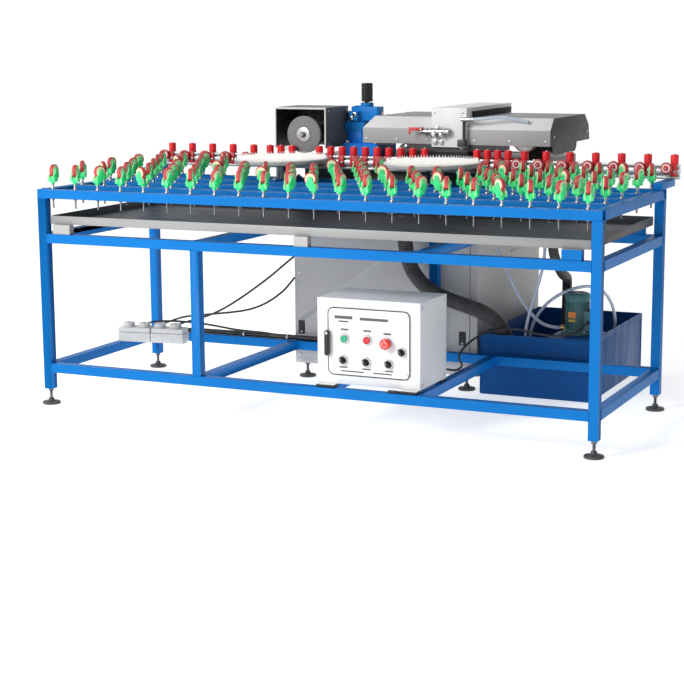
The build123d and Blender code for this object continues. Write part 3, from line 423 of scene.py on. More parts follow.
# ---- shapes, in millimetres ----
def polar(radius, angle, centre=(0.0, 0.0)):
    return centre[0] + radius * cos(angle), centre[1] + radius * sin(angle)


def shape_of(points, faces):
    shape = bmesh.new()
    verts = [shape.verts.new(point) for point in points]
    for face in faces:
        shape.faces.new([verts[index] for index in face])
    return shape


def round_edges(shape, edges, rounding, segments):
    """Rounds the edges and marks the middle of each rounding as edge, for wear."""
    layer = shape.verts.layers.float.get("edge") or shape.verts.layers.float.new("edge")
    made = bmesh.ops.bevel(
        shape, geom=edges, offset=rounding, segments=segments, profile=0.5, affect="EDGES", clamp_overlap=True
    )
    rounded = set(made["faces"])
    for vert in made["verts"]:
        if all(face in rounded for face in vert.link_faces):
            vert[layer] = 1.0
    return shape


def soften(shape, rounding, segments=2):
    """Rounds every sharp edge of a simple shape."""
    edges = [e for e in shape.edges if e.is_manifold and e.calc_face_angle(0.0) > SHARP_ANGLE]
    return round_edges(shape, edges, rounding, segments)


def box(x, y, z, rounding=1.0, segments=2):
    points = [(x[i], y[j], z[k]) for i in (0, 1) for j in (0, 1) for k in (0, 1)]
    faces = [(0, 1, 3, 2), (4, 6, 7, 5), (0, 4, 5, 1), (2, 3, 7, 6), (0, 2, 6, 4), (1, 5, 7, 3)]
    shape = shape_of(points, faces)
    return soften(shape, rounding, segments) if rounding else shape


def prism(outline, low, high, rounding=0.6, segments=2):
    """An outline in X and Y drawn up from low to high along Z."""
    count = len(outline)
    points = [(x, y, z) for z in (low, high) for x, y in outline]
    sides = [(i, (i + 1) % count, (i + 1) % count + count, i + count) for i in range(count)]
    shape = shape_of(points, [tuple(reversed(range(count))), tuple(range(count, 2 * count)), *sides])
    bmesh.ops.recalc_face_normals(shape, faces=shape.faces)
    return soften(shape, rounding, segments) if rounding else shape


def turned(outline, steps=32, sweep=360.0):
    """A turned shape about Z from (radius, height) pairs; a radius of 0 closes it on the axis."""
    shape = bmesh.new()
    whole = sweep >= 360.0
    count = steps if whole else steps + 1
    rings = []
    for radius, height in outline:
        if radius == 0:
            rings.append([shape.verts.new((0, 0, height))] * count)
            continue
        ring = []
        for step in range(count):
            angle = radians(sweep) * step / steps
            ring.append(shape.verts.new((*polar(radius, angle), height)))
        rings.append(ring)
    for low, high in zip(rings, rings[1:]):
        for step in range(steps):
            after = (step + 1) % count
            corners = [low[step], low[after], high[after], high[step]]
            unique = [v for n, v in enumerate(corners) if v not in corners[:n]]
            if len(unique) > 2:
                shape.faces.new(unique)
    bmesh.ops.recalc_face_normals(shape, faces=shape.faces)
    return shape


def disc_shape(radius, low, high, rounding=0.8, steps=32, bore=0.0):
    """A round bar or washer from low to high with eased rims."""
    outline = [
        (bore, low), (radius - rounding, low), (radius - 0.3 * rounding, low + 0.3 * rounding),
        (radius, low + rounding), (radius, high - rounding), (radius - 0.3 * rounding, high - 0.3 * rounding),
        (radius - rounding, high), (bore, high),
    ]
    return turned(outline + ([outline[0]] if bore else []), steps)


def hexagon(across, low, high, rounding=0.7):
    radius = across / sqrt(3)
    corners = [polar(radius, radians(60 * n)) for n in range(6)]
    return prism(corners, low, high, rounding, 1)


def threaded(radius, low, high, pitch=1.75, steps=20):
    """A stud whose thread is a row of ridges."""
    outline = [(0, low), (radius * 0.86, low)]
    for ridge in range(int((high - low) / pitch)):
        base = low + ridge * pitch
        outline += [(radius * 0.87, base + 0.2 * pitch), (radius, base + 0.6 * pitch)]
    return turned(outline + [(radius * 0.86, high), (0, high)], steps)


def rounded_outline(x, y, radius, steps=6):
    """The corner points of a rectangle with round corners, anticlockwise."""
    points = []
    for corner, (cx, cy) in enumerate(
        ((x[1] - radius, y[1] - radius), (x[0] + radius, y[1] - radius),
         (x[0] + radius, y[0] + radius), (x[1] - radius, y[0] + radius))
    ):
        for step in range(steps + 1):
            angle = radians(90 * corner + 90 * step / steps)
            points.append(polar(radius, angle, (cx, cy)))
    return points


def swept(points, radius_at, sides=16):
    """A tube along points, in any units; radius_at gives the radius at each point's number."""
    shape = bmesh.new()
    rings, side = [], None
    for number, point in enumerate(points):
        ahead = (points[min(number + 1, len(points) - 1)] - points[max(number - 1, 0)]).normalized()
        if side is None:
            side = ahead.orthogonal().normalized()
        side = (side - ahead * side.dot(ahead)).normalized()
        up = ahead.cross(side)
        radius = radius_at(number)
        ring = []
        for step in range(sides):
            angle = 2 * pi * step / sides
            ring.append(shape.verts.new(point + radius * (cos(angle) * side + sin(angle) * up)))
        rings.append(ring)
    for low, high in zip(rings, rings[1:]):
        for step in range(sides):
            after = (step + 1) % sides
            shape.faces.new((low[step], low[after], high[after], high[step]))
    shape.faces.new(list(reversed(rings[0])))
    shape.faces.new(rings[-1])
    return shape


TURNS = {
    "X": Matrix.Rotation(pi / 2, 4, "Y"), "-X": Matrix.Rotation(-pi / 2, 4, "Y"),
    "Y": Matrix.Rotation(-pi / 2, 4, "X"), "-Y": Matrix.Rotation(pi / 2, 4, "X"),
    "Z": Matrix.Identity(4), "-Z": Matrix.Rotation(pi, 4, "X"),
}

# A flat drawing stood up on a wall: its Y points up and its Z out of the wall.
ON_BACK = Matrix(((-1, 0, 0, 0), (0, 0, 1, 0), (0, 1, 0, 0), (0, 0, 0, 1)))
ON_RIGHT = Matrix(((0, 0, 1, 0), (1, 0, 0, 0), (0, 1, 0, 0), (0, 0, 0, 1)))


def put(x, y, z, axis="Z", spin=0.0):
    """Moves a shape made about the origin to (x, y, z) with its Z along axis."""
    return Matrix.Translation((x, y, z)) @ TURNS[axis] @ Matrix.Rotation(radians(spin), 4, "Z")


def grid(x, y, z, axis="Z"):
    """A place for every X with every Y and every Z, each given as one number or as several."""
    spans = [span if isinstance(span, tuple) else (span,) for span in (x, y, z)]
    return [put(*place, axis) for place in itertools.product(*spans)]


def screw_heads(piece, radius, height, places, steps=16):
    piece.add(disc_shape(radius, 0, height, 1.2, steps), STEEL, places)


class Piece:
    """Gathers shapes, in working millimetres, into one mesh object of the visual model."""

    def __init__(self, name):
        self.name = name
        self.gathered = bmesh.new()
        self.gathered.verts.layers.float.new("edge")
        self.materials = []

    def number_of(self, material):
        if material not in self.materials:
            self.materials.append(material)
        return self.materials.index(material)

    def add(self, shape, material, places=(Matrix.Identity(4),), paint=None):
        """Adds a shape at each place; paint may choose another material for a face, or None."""
        index = self.number_of(material)
        shape.verts.layers.float.get("edge") or shape.verts.layers.float.new("edge")
        shape.normal_update()
        for face in shape.faces:
            other = paint(face.calc_center_median(), face.normal) if paint else None
            face.material_index = self.number_of(other) if other else index
            face.smooth = True
        mesh = bpy.data.meshes.new("gathering")
        shape.to_mesh(mesh)
        shape.free()
        for place in [places] if isinstance(places, Matrix) else places:
            copy = mesh.copy()
            copy.transform(place)
            self.gathered.from_mesh(copy)
            bpy.data.meshes.remove(copy)
        bpy.data.meshes.remove(mesh)
        return self

    def done(self, body, slot, *replaced, to_frame=TO_FRAME):
        mesh = bpy.data.meshes.new(self.name)
        self.gathered.to_mesh(mesh)
        self.gathered.free()
        mesh.transform(to_frame)
        for material in self.materials:
            mesh.materials.append(material)
        mesh.set_sharp_from_angle(angle=SMOOTH_ANGLE)
        piece = bpy.data.objects.new(self.name, mesh)
        bpy.context.scene.collection.objects.link(piece)
        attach(piece, body)
        if replaced:
            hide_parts(*replaced)
        return piece


def copied(node, rounding, segments=2, shortest=0.0):
    """A CAD node's own solid in millimetres, with its long convex edges rounded."""
    shape = bmesh.new()
    shape.from_mesh(nodes[node].data)
    shape.transform(TO_FRAME.inverted())
    bmesh.ops.remove_doubles(shape, verts=shape.verts, dist=0.01)
    bmesh.ops.dissolve_limit(shape, angle_limit=radians(0.5), verts=shape.verts, edges=shape.edges)
    if not rounding:
        return shape
    edges = [
        e for e in shape.edges
        if e.is_manifold and e.is_convex and e.calc_face_angle(0.0) > SHARP_ANGLE
        and e.calc_length() > shortest
    ]
    return round_edges(shape, edges, rounding, segments)


# ---- camera, light and floor ----
CAMERA_PLACE = (2.88316, -6.66715, 1.52815)
CAMERA_TURN = radians(24.97)
CAMERA_RISE = radians(10.327)
CAMERA_ROLL = radians(-0.391)
CAMERA_LENS = 89.18
WHITE_LIGHT = (1.0, 1.0, 1.0, 1.0)
WORLD_STRENGTH = 1.12
FLOOR_GLOW = 0.58
FLOOR_REACH = 30.0


def set_camera():
    data = bpy.data.cameras.new("camera")
    data.lens = CAMERA_LENS
    data.sensor_width = 36.0
    data.clip_end = 60.0
    camera = bpy.data.objects.new("camera", data)
    bpy.context.scene.collection.objects.link(camera)
    level = cos(CAMERA_RISE)
    back = Vector((sin(CAMERA_TURN) * level, -cos(CAMERA_TURN) * level, sin(CAMERA_RISE)))
    right = Vector((cos(CAMERA_TURN), sin(CAMERA_TURN), 0.0))
    up = back.cross(right)
    rolled_right = cos(CAMERA_ROLL) * right + sin(CAMERA_ROLL) * up
    rolled_up = cos(CAMERA_ROLL) * up - sin(CAMERA_ROLL) * right
    turn = Matrix((rolled_right, rolled_up, back)).transposed().to_4x4()
    camera.matrix_world = Matrix.Translation(CAMERA_PLACE) @ turn
    bpy.context.scene.camera = camera


def area_light(name, place, target, size, power):
    data = bpy.data.lights.new(name, "AREA")
    data.shape = "RECTANGLE"
    data.size, data.size_y = size
    data.energy = power
    light = bpy.data.objects.new(name, data)
    bpy.context.scene.collection.objects.link(light)
    aim = Vector(target) - Vector(place)
    light.matrix_world = Matrix.Translation(place) @ aim.to_track_quat("-Z", "Y").to_matrix().to_4x4()


def studio_world():
    """White surroundings that dim overhead, on the operator's side and at the tank's end."""
    world = bpy.data.worlds.new("studio")
    world.use_nodes = True
    sky = NodeTree(world.node_tree)
    split = sky.node("ShaderNodeSeparateXYZ")
    sky.link(sky.node("ShaderNodeTexCoord").outputs["Generated"], split.inputs[0])
    upward = sky.remap(split.outputs["Z"], 0.30, 0.90, 1.0, 0.42)
    backward = sky.remap(split.outputs["Y"], -0.75, 0.05, 0.50, 1.0)
    rightward = sky.remap(split.outputs["X"], 0.05, 0.80, 1.0, 0.17)
    strength = sky.node("ShaderNodeMath", operation="MULTIPLY")
    strength.inputs[1].default_value = WORLD_STRENGTH
    sky.link(sky.times(sky.times(upward, backward), rightward), strength.inputs[0])
    background = sky.tree.nodes["Background"]
    sky.link(strength.outputs["Value"], background.inputs["Strength"])
    give(background, Color=WHITE_LIGHT)
    return world


def set_studio():
    bpy.context.scene.world = studio_world()
    bpy.context.scene.view_settings.view_transform = "Standard"
    area_light("key_light", (-2.6, -6.0, 3.9), (0.0, 0.0, 0.6), (2.6, 2.6), 340.0)
    floor = bpy.data.meshes.new("floor")
    corners = [(x * FLOOR_REACH, y * FLOOR_REACH, 0) for x, y in ((-1, -1), (1, -1), (1, 1), (-1, 1))]
    floor.from_pydata(corners, [], [(0, 1, 2, 3)])
    finish = Finish("pale_floor", 0.85)
    finish.tones(finish.noise(0.8), (0.92, 0.92, 0.92), (0.94, 0.94, 0.94))
    finish.set(Emission_Color=WHITE_LIGHT, Emission_Strength=FLOOR_GLOW)
    floor.materials.append(finish.material)
    stage = bpy.data.objects.new("floor", floor)
    bpy.context.scene.collection.objects.link(stage)


# ---- hoses and cables: the same routes as the part's, in working millimetres ----
SOCKET_ORIGIN = (24.0, 540.0)
SOCKET_TURN = radians(9.5)
SOCKET_BASE = 180.5
MODULE = (154.0, 78.0, 62.0)
PLUG_PITCH = 74.0


def socket_point(along, across, height):
    """A point given along and across the turned socket modules."""
    x = SOCKET_ORIGIN[0] + along * cos(SOCKET_TURN) - across * sin(SOCKET_TURN)
    y = SOCKET_ORIGIN[1] + along * sin(SOCKET_TURN) + across * cos(SOCKET_TURN)
    return x, y, SOCKET_BASE + height


def plug_exit(number, reach):
    return socket_point(40 + number * PLUG_PITCH, 66 + reach, MODULE[2] + 10)


LARGE_HOSE = [
    (1306, 800, 722), (1306, 800, 622), (1342, 806, 518), (1424, 816, 440), (1536, 836, 400),
    (1632, 888, 362), (1692, 950, 292), (1716, 982, 196), (1720, 988, 104),
]
SMALL_HOSE = [
    (1956, 812, 722), (1956, 812, 648), (1972, 844, 580), (1974, 908, 532), (1958, 1002, 516),
    (1936, 1090, 490), (1914, 1158, 424), (1904, 1188, 332), (1900, 1196, 236), (1899, 1198, 146),
]
LEFT_TUBE = [
    (1920, 1052, 285), (1872, 1052, 285), (1828, 1040, 306), (1786, 1018, 356), (1738, 1004, 436),
    (1690, 1000, 535), (1644, 1004, 624), (1622, 1046, 696), (1628, 1096, 742), (1636, 1126, 784),
    (1640, 1140, 824), (1640, 1140, 860),
]
RIGHT_TUBE = [
    (1784, 976, 110), (1786, 976, 220), (1798, 976, 330), (1832, 978, 436), (1860, 982, 540),
    (1866, 1000, 630), (1842, 1044, 700), (1806, 1092, 750), (1780, 1126, 784), (1770, 1140, 822),
    (1770, 1140, 860),
]
RETURN_TUBE = [
    (1774, 1064, 110), (1777, 1063, 215), (1798, 1060, 308), (1852, 1048, 382), (1918, 1034, 432),
    (1980, 1040, 460), (2024, 1078, 468), (2050, 1136, 456), (2066, 1218, 422), (2074, 1300, 366),
    (2074, 1362, 286), (2060, 1390, 194), (2044, 1398, 108),
]
PUMP_CABLE = [
    (2053, 1018, 320), (2053, 984, 320), (2040, 950, 298), (1998, 924, 278), (1936, 914, 271),
    (1864, 912, 276), (1796, 906, 292), (1730, 900, 292), (1664, 888, 280), (1606, 860, 254),
    (1576, 812, 220), (1574, 750, 196), (1600, 686, 185), (1640, 620, 182), (1660, 548, 182),
    (1664, 482, 184), (1650, 428, 196), (1628, 392, 212), (1614, 358, 222), (1614, 322, 222),
]
PLUG_CABLE_1 = [
    plug_exit(3, 0), plug_exit(3, 32), (276, 718, 256), (316, 744, 266), (374, 756, 286),
    (438, 764, 316), (507, 794, 362), (566, 834, 410), (625, 870, 460), (669, 893, 502),
    (697, 922, 532), (708, 952, 548), (708, 984, 548),
]
PLUG_CABLE_2 = [
    plug_exit(2, 0), plug_exit(2, 36), (206, 708, 258), (248, 722, 274), (306, 716, 286),
    (372, 706, 296), (436, 712, 304), (500, 742, 310), (556, 786, 317), (602, 830, 334),
    (644, 868, 363), (680, 900, 398), (700, 932, 434), (708, 964, 456), (708, 1000, 456),
]
PLUG_CABLE_3 = [
    plug_exit(1, 0), plug_exit(1, 34), (134, 694, 252), (186, 720, 254), (256, 738, 252),
    (330, 756, 246), (400, 786, 233), (458, 826, 216), (520, 860, 206), (590, 878, 202),
    (640, 882, 196),
]
CABLE_BUNDLE = [
    socket_point(95, 78, 26), socket_point(95, 121, 26), (108, 740, 202), (130, 800, 196),
    (176, 852, 190), (245, 880, 188.5), (340, 888, 188), (480, 890, 188), (640, 889, 188),
    (800, 891, 188), (950, 890, 188), (1080, 880, 188), (1180, 846, 188.5), (1244, 784, 189),
    (1272, 704, 190), (1281, 600, 189), (1284, 500, 190), (1284, 424, 198), (1284, 368, 212),
    (1284, 328, 212),
]
HEAD_HOSE = [
    (1512, 1034, 1163), (1552, 1034, 1163), (1622, 1046, 1173), (1692, 1062, 1169), (1758, 1074, 1153),
]


def route_curve(name, points):
    """The route's smooth line: a NURBS spline with the route's points as its control points."""
    curve = bpy.data.curves.new(name, "CURVE")
    curve.dimensions = "3D"
    curve.resolution_u = 10
    spline = curve.splines.new("NURBS")
    spline.points.add(len(points) - 1)
    for control, point in zip(spline.points, points):
        control.co = (*(TO_FRAME @ Vector(point)), 1.0)
    spline.order_u = 3
    spline.use_endpoint_u = True
    return curve


def line_of(name, points):
    """Points along a route's line, in metres."""
    curve = route_curve(name + "_line", points)
    holder = bpy.data.objects.new(name + "_line", curve)
    bpy.context.scene.collection.objects.link(holder)
    mesh = bpy.data.meshes.new_from_object(holder)
    line = [vert.co.copy() for vert in mesh.vertices]
    bpy.data.objects.remove(holder)
    bpy.data.meshes.remove(mesh)
    return line


def length_of(line):
    return sum((b - a).length for a, b in zip(line, line[1:]))


def resampled(line, step):
    """The same line with its points evenly spaced by about step."""
    whole = length_of(line)
    count = max(2, round(whole / step))
    wanted = [whole * n / count for n in range(count + 1)]
    points, travelled, number = [], 0.0, 0
    for target in wanted:
        while number < len(line) - 2 and travelled + (line[number + 1] - line[number]).length < target:
            travelled += (line[number + 1] - line[number]).length
            number += 1
        run = line[number + 1] - line[number]
        points.append(line[number] + run * min(1.0, (target - travelled) / max(run.length, 1e-9)))
    return points


def round_cord(name, points, diameter, material):
    curve = route_curve(name, points)
    curve.bevel_depth = diameter / 2
    curve.bevel_resolution = 5
    curve.use_fill_caps = True
    curve.materials.append(material)
    piece = bpy.data.objects.new(name, curve)
    bpy.context.scene.collection.objects.link(piece)
    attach(piece, MACHINE)
    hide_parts(name)
    length = length_of(line_of(name, points))


def ribbed_hose(name, points, diameter, pitch, depth, material, slot):
    """A corrugated hose: a tube whose radius rises and falls along the route's line."""
    line = resampled(line_of(name, points), pitch / 4)
    swell = (0.0, 0.7, 1.0, 0.7)
    outer = diameter / 2

    def radius_at(number):
        return outer - depth * (1.0 - swell[number % 4])

    tube = Piece(name).add(swept(line, radius_at, 40), material)
    piece = tube.done(MACHINE, slot, name, to_frame=Matrix.Identity(4))


def lay_cords():
    ribbed_hose("drain_hose_large", LARGE_HOSE, 0.066, 0.0115, 0.0034, HOSE_GREY, "hose_grey")
    ribbed_hose("drain_hose_small", SMALL_HOSE, 0.042, 0.0075, 0.0009, HOSE_BLACK, "hose_black")
    for name, route, diameter, far_end in (
        ("water_tube_left", LEFT_TUBE, 0.014, "object"), ("water_tube_right", RIGHT_TUBE, 0.014, "object"),
        ("return_tube", RETURN_TUBE, 0.014, "bare"),
    ):
        round_cord(name, route, diameter, CLEAR)
    for name, route, diameter in (
        ("pump_cable", PUMP_CABLE, 0.009), ("plug_cable_1", PLUG_CABLE_1, 0.009),
        ("plug_cable_2", PLUG_CABLE_2, 0.009), ("plug_cable_3", PLUG_CABLE_3, 0.009),
        ("cable_bundle", CABLE_BUNDLE, 0.022),
    ):
        round_cord(name, route, diameter, CABLE)
    round_cord("head_hose", HEAD_HOSE, 0.015, CLEAR)


set_camera()
set_studio()
lay_cords()

# ---- the table frame ----
TUBE = 38.0
(_, LENGTH), (_, DEPTH), (_, FRAME_TOP) = limits("top_frame")
MID_TOP = 721.0
LOW_TOP = 175.5
FRAME_RIGHT = LENGTH - TUBE
FRAME_BACK = DEPTH - TUBE
POST_X = 717.0
REAR_POST_X = 1390.0
CROSS_X = 1660.0
BOX_RAIL_X = 1262.0
ROW_Y = (19.0, 237.0, 455.0, 672.0, 888.0)
BEAD_RADIUS = 2.2
BEAD_RIPPLE = 0.5
BEAD_STEPS = 12


def weld_ring(corner, first, second):
    """A rippled weld bead round a tube's square end; first and second are its two side directions."""
    a, b, c = Vector(corner), Vector(first) * TUBE, Vector(second) * TUBE
    beads = bmesh.new()
    for start, run in ((a, b), (a + b, c), (a + b + c, -b), (a + c, -c)):
        points = [start + run * step / BEAD_STEPS for step in range(BEAD_STEPS + 1)]
        bead = swept(points, lambda n: BEAD_RADIUS + BEAD_RIPPLE * (n % 2), 6)
        mesh = bpy.data.meshes.new("bead")
        bead.to_mesh(mesh)
        bead.free()
        beads.from_mesh(mesh)
        bpy.data.meshes.remove(mesh)
    return beads


def frame_welds():
    """Every place where a tube butts against another one."""
    rings = []
    along_y, along_z, along_x = (0, 1, 0), (0, 0, 1), (1, 0, 0)
    for x in (TUBE, FRAME_RIGHT):
        for y in (0.0, FRAME_BACK):
            rings += [((x, y, top - TUBE), along_y, along_z) for top in (MID_TOP, LOW_TOP)]
        rings += [((x, y - TUBE / 2, FRAME_TOP - TUBE), along_y, along_z) for y in ROW_Y[1:4]]
    for y in (TUBE, FRAME_BACK):
        for x in (0.0, FRAME_RIGHT, POST_X, CROSS_X):
            rings += [((x, y, top - TUBE), along_x, along_z) for top in (MID_TOP, LOW_TOP)]
        rings.append(((BOX_RAIL_X, y, LOW_TOP - TUBE), along_x, along_z))
        rings += [((x, y, FRAME_TOP - TUBE), along_x, along_z) for x in (0.0, FRAME_RIGHT)]
    for x, y in ((POST_X, 0.0), (REAR_POST_X, FRAME_BACK)):
        rings += [((x, y, z), along_x, along_y) for z in (LOW_TOP, MID_TOP - TUBE)]
    for x in (0.0, FRAME_RIGHT):
        rings += [((x, y, FRAME_TOP - TUBE), along_x, along_y) for y in (0.0, FRAME_BACK)]
    return rings


def build_frame():
    for name, node in (("frame_tubes", "table_frame"), ("frame_top_tubes", "top_frame")):
        Piece(name).add(copied(node, 3.0, 3, 45.0), AZURE).done(MACHINE, "blue_paint", node)
    welds = Piece("frame_weld_beads")
    for ring in frame_welds():
        welds.add(weld_ring(*ring), AZURE)
    welds.done(MACHINE, "blue_paint")

    def arm_paint(centre, normal):
        return TURNED if centre.z > FRAME_TOP + 7 and centre.y < 829 else None

    arms = Piece("fence_arms").add(copied("rear_brackets", 6.0, 3, 25.0), AZURE, paint=arm_paint)
    bolt = [put(x, y, FRAME_TOP + 6) for x in (715, 759, 1419, 1463) for y in (664, 896)]
    arms.add(hexagon(15, 0.0, 7.0), STEEL, bolt)
    arms.done(MACHINE, "blue_paint", "rear_brackets")


def build_feet():
    pad = [(0, 0), (36, 0), (38, 2), (38, 8), (36, 10.5), (17, 14), (12.5, 18), (11, 26), (0, 26)]
    places = [(x, y) for x in (19.0, 2381.0) for y in (19.0, 888.0)]
    places += [(x, y) for x in (762.0, 1530.0) for y in (962.0, 1708.0)]
    stands = [put(x, y, 0) for x, y in places]
    feet = Piece("levelling_foot_set")
    feet.add(turned(pad, 36), FOOT_BLACK, stands)
    feet.add(threaded(6.5, 25.0, 66.0, 2.0), STUD, stands)
    feet.add(hexagon(19, 57.0, 65.5), STUD, stands)
    feet.add(disc_shape(12.0, 55.2, 57.0, 0.5), STUD, stands)
    feet.done(MACHINE, "foot_black", "levelling_feet")


TRAY_X = limits("drip_tray")[0]
TRAY_Y = (22.0, 885.0)
TRAY_Z = (761.0, 795.0)
DRAINS = ((1306.0, 800.0, 24.0), (1956.0, 812.0, 17.0))


def build_tray():
    """The basin: dark wet floor, light folded edge, strainers over the drains, hose clips below."""
    def paint(centre, normal):
        if centre.z < TRAY_Z[0] - 0.5:
            if any(hypot(centre.x - x, centre.y - y) < 32 for x, y, _ in DRAINS):
                return STEEL
            return AZURE if centre.x > 2200 else PALE_BLOCK
        inside = TRAY_X[0] + 2.5 < centre.x < TRAY_X[1] - 2.5 and TRAY_Y[0] + 2.5 < centre.y < TRAY_Y[1] - 2.5
        # The tray's right end face takes the dark floor sheet as painted shade
        shaded_end = centre.x > TRAY_X[1] - 1
        return TRAY_FLOOR if (inside and centre.z > TRAY_Z[0] + 1) or shaded_end else None

    tray = Piece("tray_basin").add(copied("drip_tray", 0.7, 1, 25.0), TRAY_EDGE, paint=paint)
    for x, y, radius in DRAINS:
        tray.add(disc_shape(radius + 5, 0.0, 2.2, 0.8), TURNED, put(x, y, TRAY_Z[0] + 3))
        holes = [
            put(*polar(ring * 5.5, turn, (x, y)), TRAY_Z[0] + 5)
            for ring in range(1, 4) for turn in (2 * pi * n / (6 * ring) for n in range(6 * ring))
        ]
        tray.add(disc_shape(1.6, 0.0, 0.6, 0.1, 8), DARK_SEAM_AND_SHADE, holes)
    for x, y, radius in ((1306, 800, 35.0), (1956, 812, 23.0)):
        tray.add(turned([(radius - 2.4, 700), (radius, 700), (radius, 712), (radius - 2.4, 712),
                         (radius - 2.4, 700)], 36),
                 CHROME, put(x, y, 0))
        tray.add(box((-6, 6), (-4, 4), (699, 713), 1.0), CHROME, put(x, y - radius - 3, 0))
        tray.add(hexagon(7, 0, 9), STEEL, put(x + 6, y - radius - 3, 706, "X"))
    tray.done(MACHINE, "tray_steel", "drip_tray")


# ---- casters ----
CASTERS_IN_ROW = 22
FIRST_CASTER_X = 66.0
CASTER_PITCH = 108.4
CASTER_REACH = 247.0
CASTER_AXLE = (12.0, 982.0)
MOVING_CASTER = (3, 0)


def caster_places():
    """(x, y, turn in degrees, whether it is the moving one) of every caster."""
    places = []
    for row, y in enumerate(ROW_Y):
        for index in range(CASTERS_IN_ROW):
            x = FIRST_CASTER_X + index * CASTER_PITCH
            if any(hypot(x - disc, y - DISC_Y) <= CASTER_REACH for disc in (LEFT_DISC_X, RIGHT_DISC_X)):
                continue
            moving = (index, row) == MOVING_CASTER
            turn = 24 * sin(2.4 * index + 1.7 * row)
            if (3 * index + 2 * row) % 7 == 5:
                turn += 75
            places.append((x, y, 0.0 if moving else turn, moving))
    return places


def fork_cheek(grow=0.0):
    """One cheek's outline in Y and Z: boss side, small ears at mid height, low round axle end."""
    axle_y, axle_z = CASTER_AXLE
    outline = [(-11 - grow, 941), (12 + grow, 941), (17 + grow, 948), (25.5 + grow, 955), (27 + grow, 960)]
    outline += [(24.5 + grow, 964), (25.5 + grow, 970)]
    for step in range(8):
        angle = radians(-10 + 200 * step / 7)
        reach = 11.0 + grow
        outline.append(polar(reach, angle, (axle_y, axle_z - 1.0)))
    outline += [(-2.5 - grow, 968), (-9 - grow, 962), (-13 - grow, 957), (-11.5 - grow, 950)]
    return outline


def caster_shapes():
    """(shape, material) lists for a caster's fork, its wheel and its stem, standing at the origin."""
    axle_y, axle_z = CASTER_AXLE
    fork = []
    for low, high, liner in ((-15.5, -10.6, -10.7), (10.6, 15.5, 9.3)):
        cheek = prism(fork_cheek(), low, high, 1.0, 1)
        cheek.transform(ON_RIGHT)
        fork.append((cheek, GREEN))
        seal = prism(fork_cheek(1.9), liner, liner + 1.4, 0)
        seal.transform(ON_RIGHT)
        fork.append((seal, CREAM))
    fork.append((box((-17, 17), (-11, 13), (937, 953), 3.0), GREEN))
    fork.append((box((-19, 19), (-5, 7), (946, 957), 2.4), GREEN))
    boss = [(4.2, 928.5), (8.0, 928.5), (9.4, 930), (9.4, 936), (12.0, 939), (13.0, 942), (0, 944)]
    fork.append((turned(boss, 18), GREEN))
    axle = hexagon(7.5, -18.0, 18.0, 0.6)
    axle.transform(put(0, axle_y, axle_z, "X"))
    fork.append((axle, STEEL))
    tyre = [(17, -7.6), (23.2, -7.6), (24.5, -6.2), (25, -3.5), (25, 3.5), (24.5, 6.2), (23.2, 7.6),
            (17, 7.6)]
    hub = [
        (3.7, -9), (8, -9), (8.6, -8), (15.5, -8), (16.5, -8.9), (19.5, -8.9), (20.3, -8.0), (20.3, -7.0),
        (20.3, 7.0), (20.3, 8.0), (19.5, 8.9), (16.5, 8.9), (15.5, 8), (8.6, 8), (8, 9), (3.7, 9),
    ]
    wheel = []
    for outline, material in ((tyre, TYRE_RED), (hub, CREAM)):
        shape = turned(outline, 28)
        shape.transform(put(0, axle_y, axle_z, "X"))
        wheel.append((shape, material))
    stem = [
        (threaded(3.9, 828.0, 868.0, 2.2, 12), STUD), (disc_shape(4.0, 920.0, 945.5, 0.5, 12), STEEL),
        (hexagon(13.0, 862.0, 867.0), STUD), (hexagon(15.0, 906.4, 912.0), STEEL),
        (disc_shape(9.5, 905.0, 906.4, 0.4, 20), STEEL), (disc_shape(5.6, 912.0, 928.0, 0.8, 16), STEEL),
    ]
    return fork, wheel, stem


def build_casters():
    fork, wheel, stem = caster_shapes()
    places = caster_places()
    still = [put(x, y, 0, "Z", turn) for x, y, turn, moving in places if not moving]
    every = [put(x, y, 0) for x, y, _, _ in places]
    own = [put(x, y, 0) for x, y, _, moving in places if moving]
    pieces = (
        ("caster_fork_set", fork, still, MACHINE, "fork_green", "caster_forks"),
        ("caster_wheel_set", wheel, still, MACHINE, "caster_red", "caster_wheels"),
        ("caster_stem_set", stem, every, MACHINE, "zinc_steel", "caster_stems"),
        ("moving_caster_fork", fork, own, "caster_fork", "fork_green", "caster_fork_1"),
        ("moving_caster_wheel", wheel, own, "caster_wheel", "caster_red", "caster_wheel_1"),
    )
    for name, shapes, stands, body, slot, node in pieces:
        piece = Piece(name)
        for shape, material in shapes:
            piece.add(shape.copy(), material, stands)
        piece.done(body, slot, node)


# ---- fence ----
FENCE_RUNS = (
    (47.0, 106.5, 5, True), (556.0, 55.0, 3, False), (802.0, 56.2, 10, False),
    (1548.0, 46.7, 4, False), (1762.0, 95.0, 2, True), (1961.0, 110.0, 5, True),
)


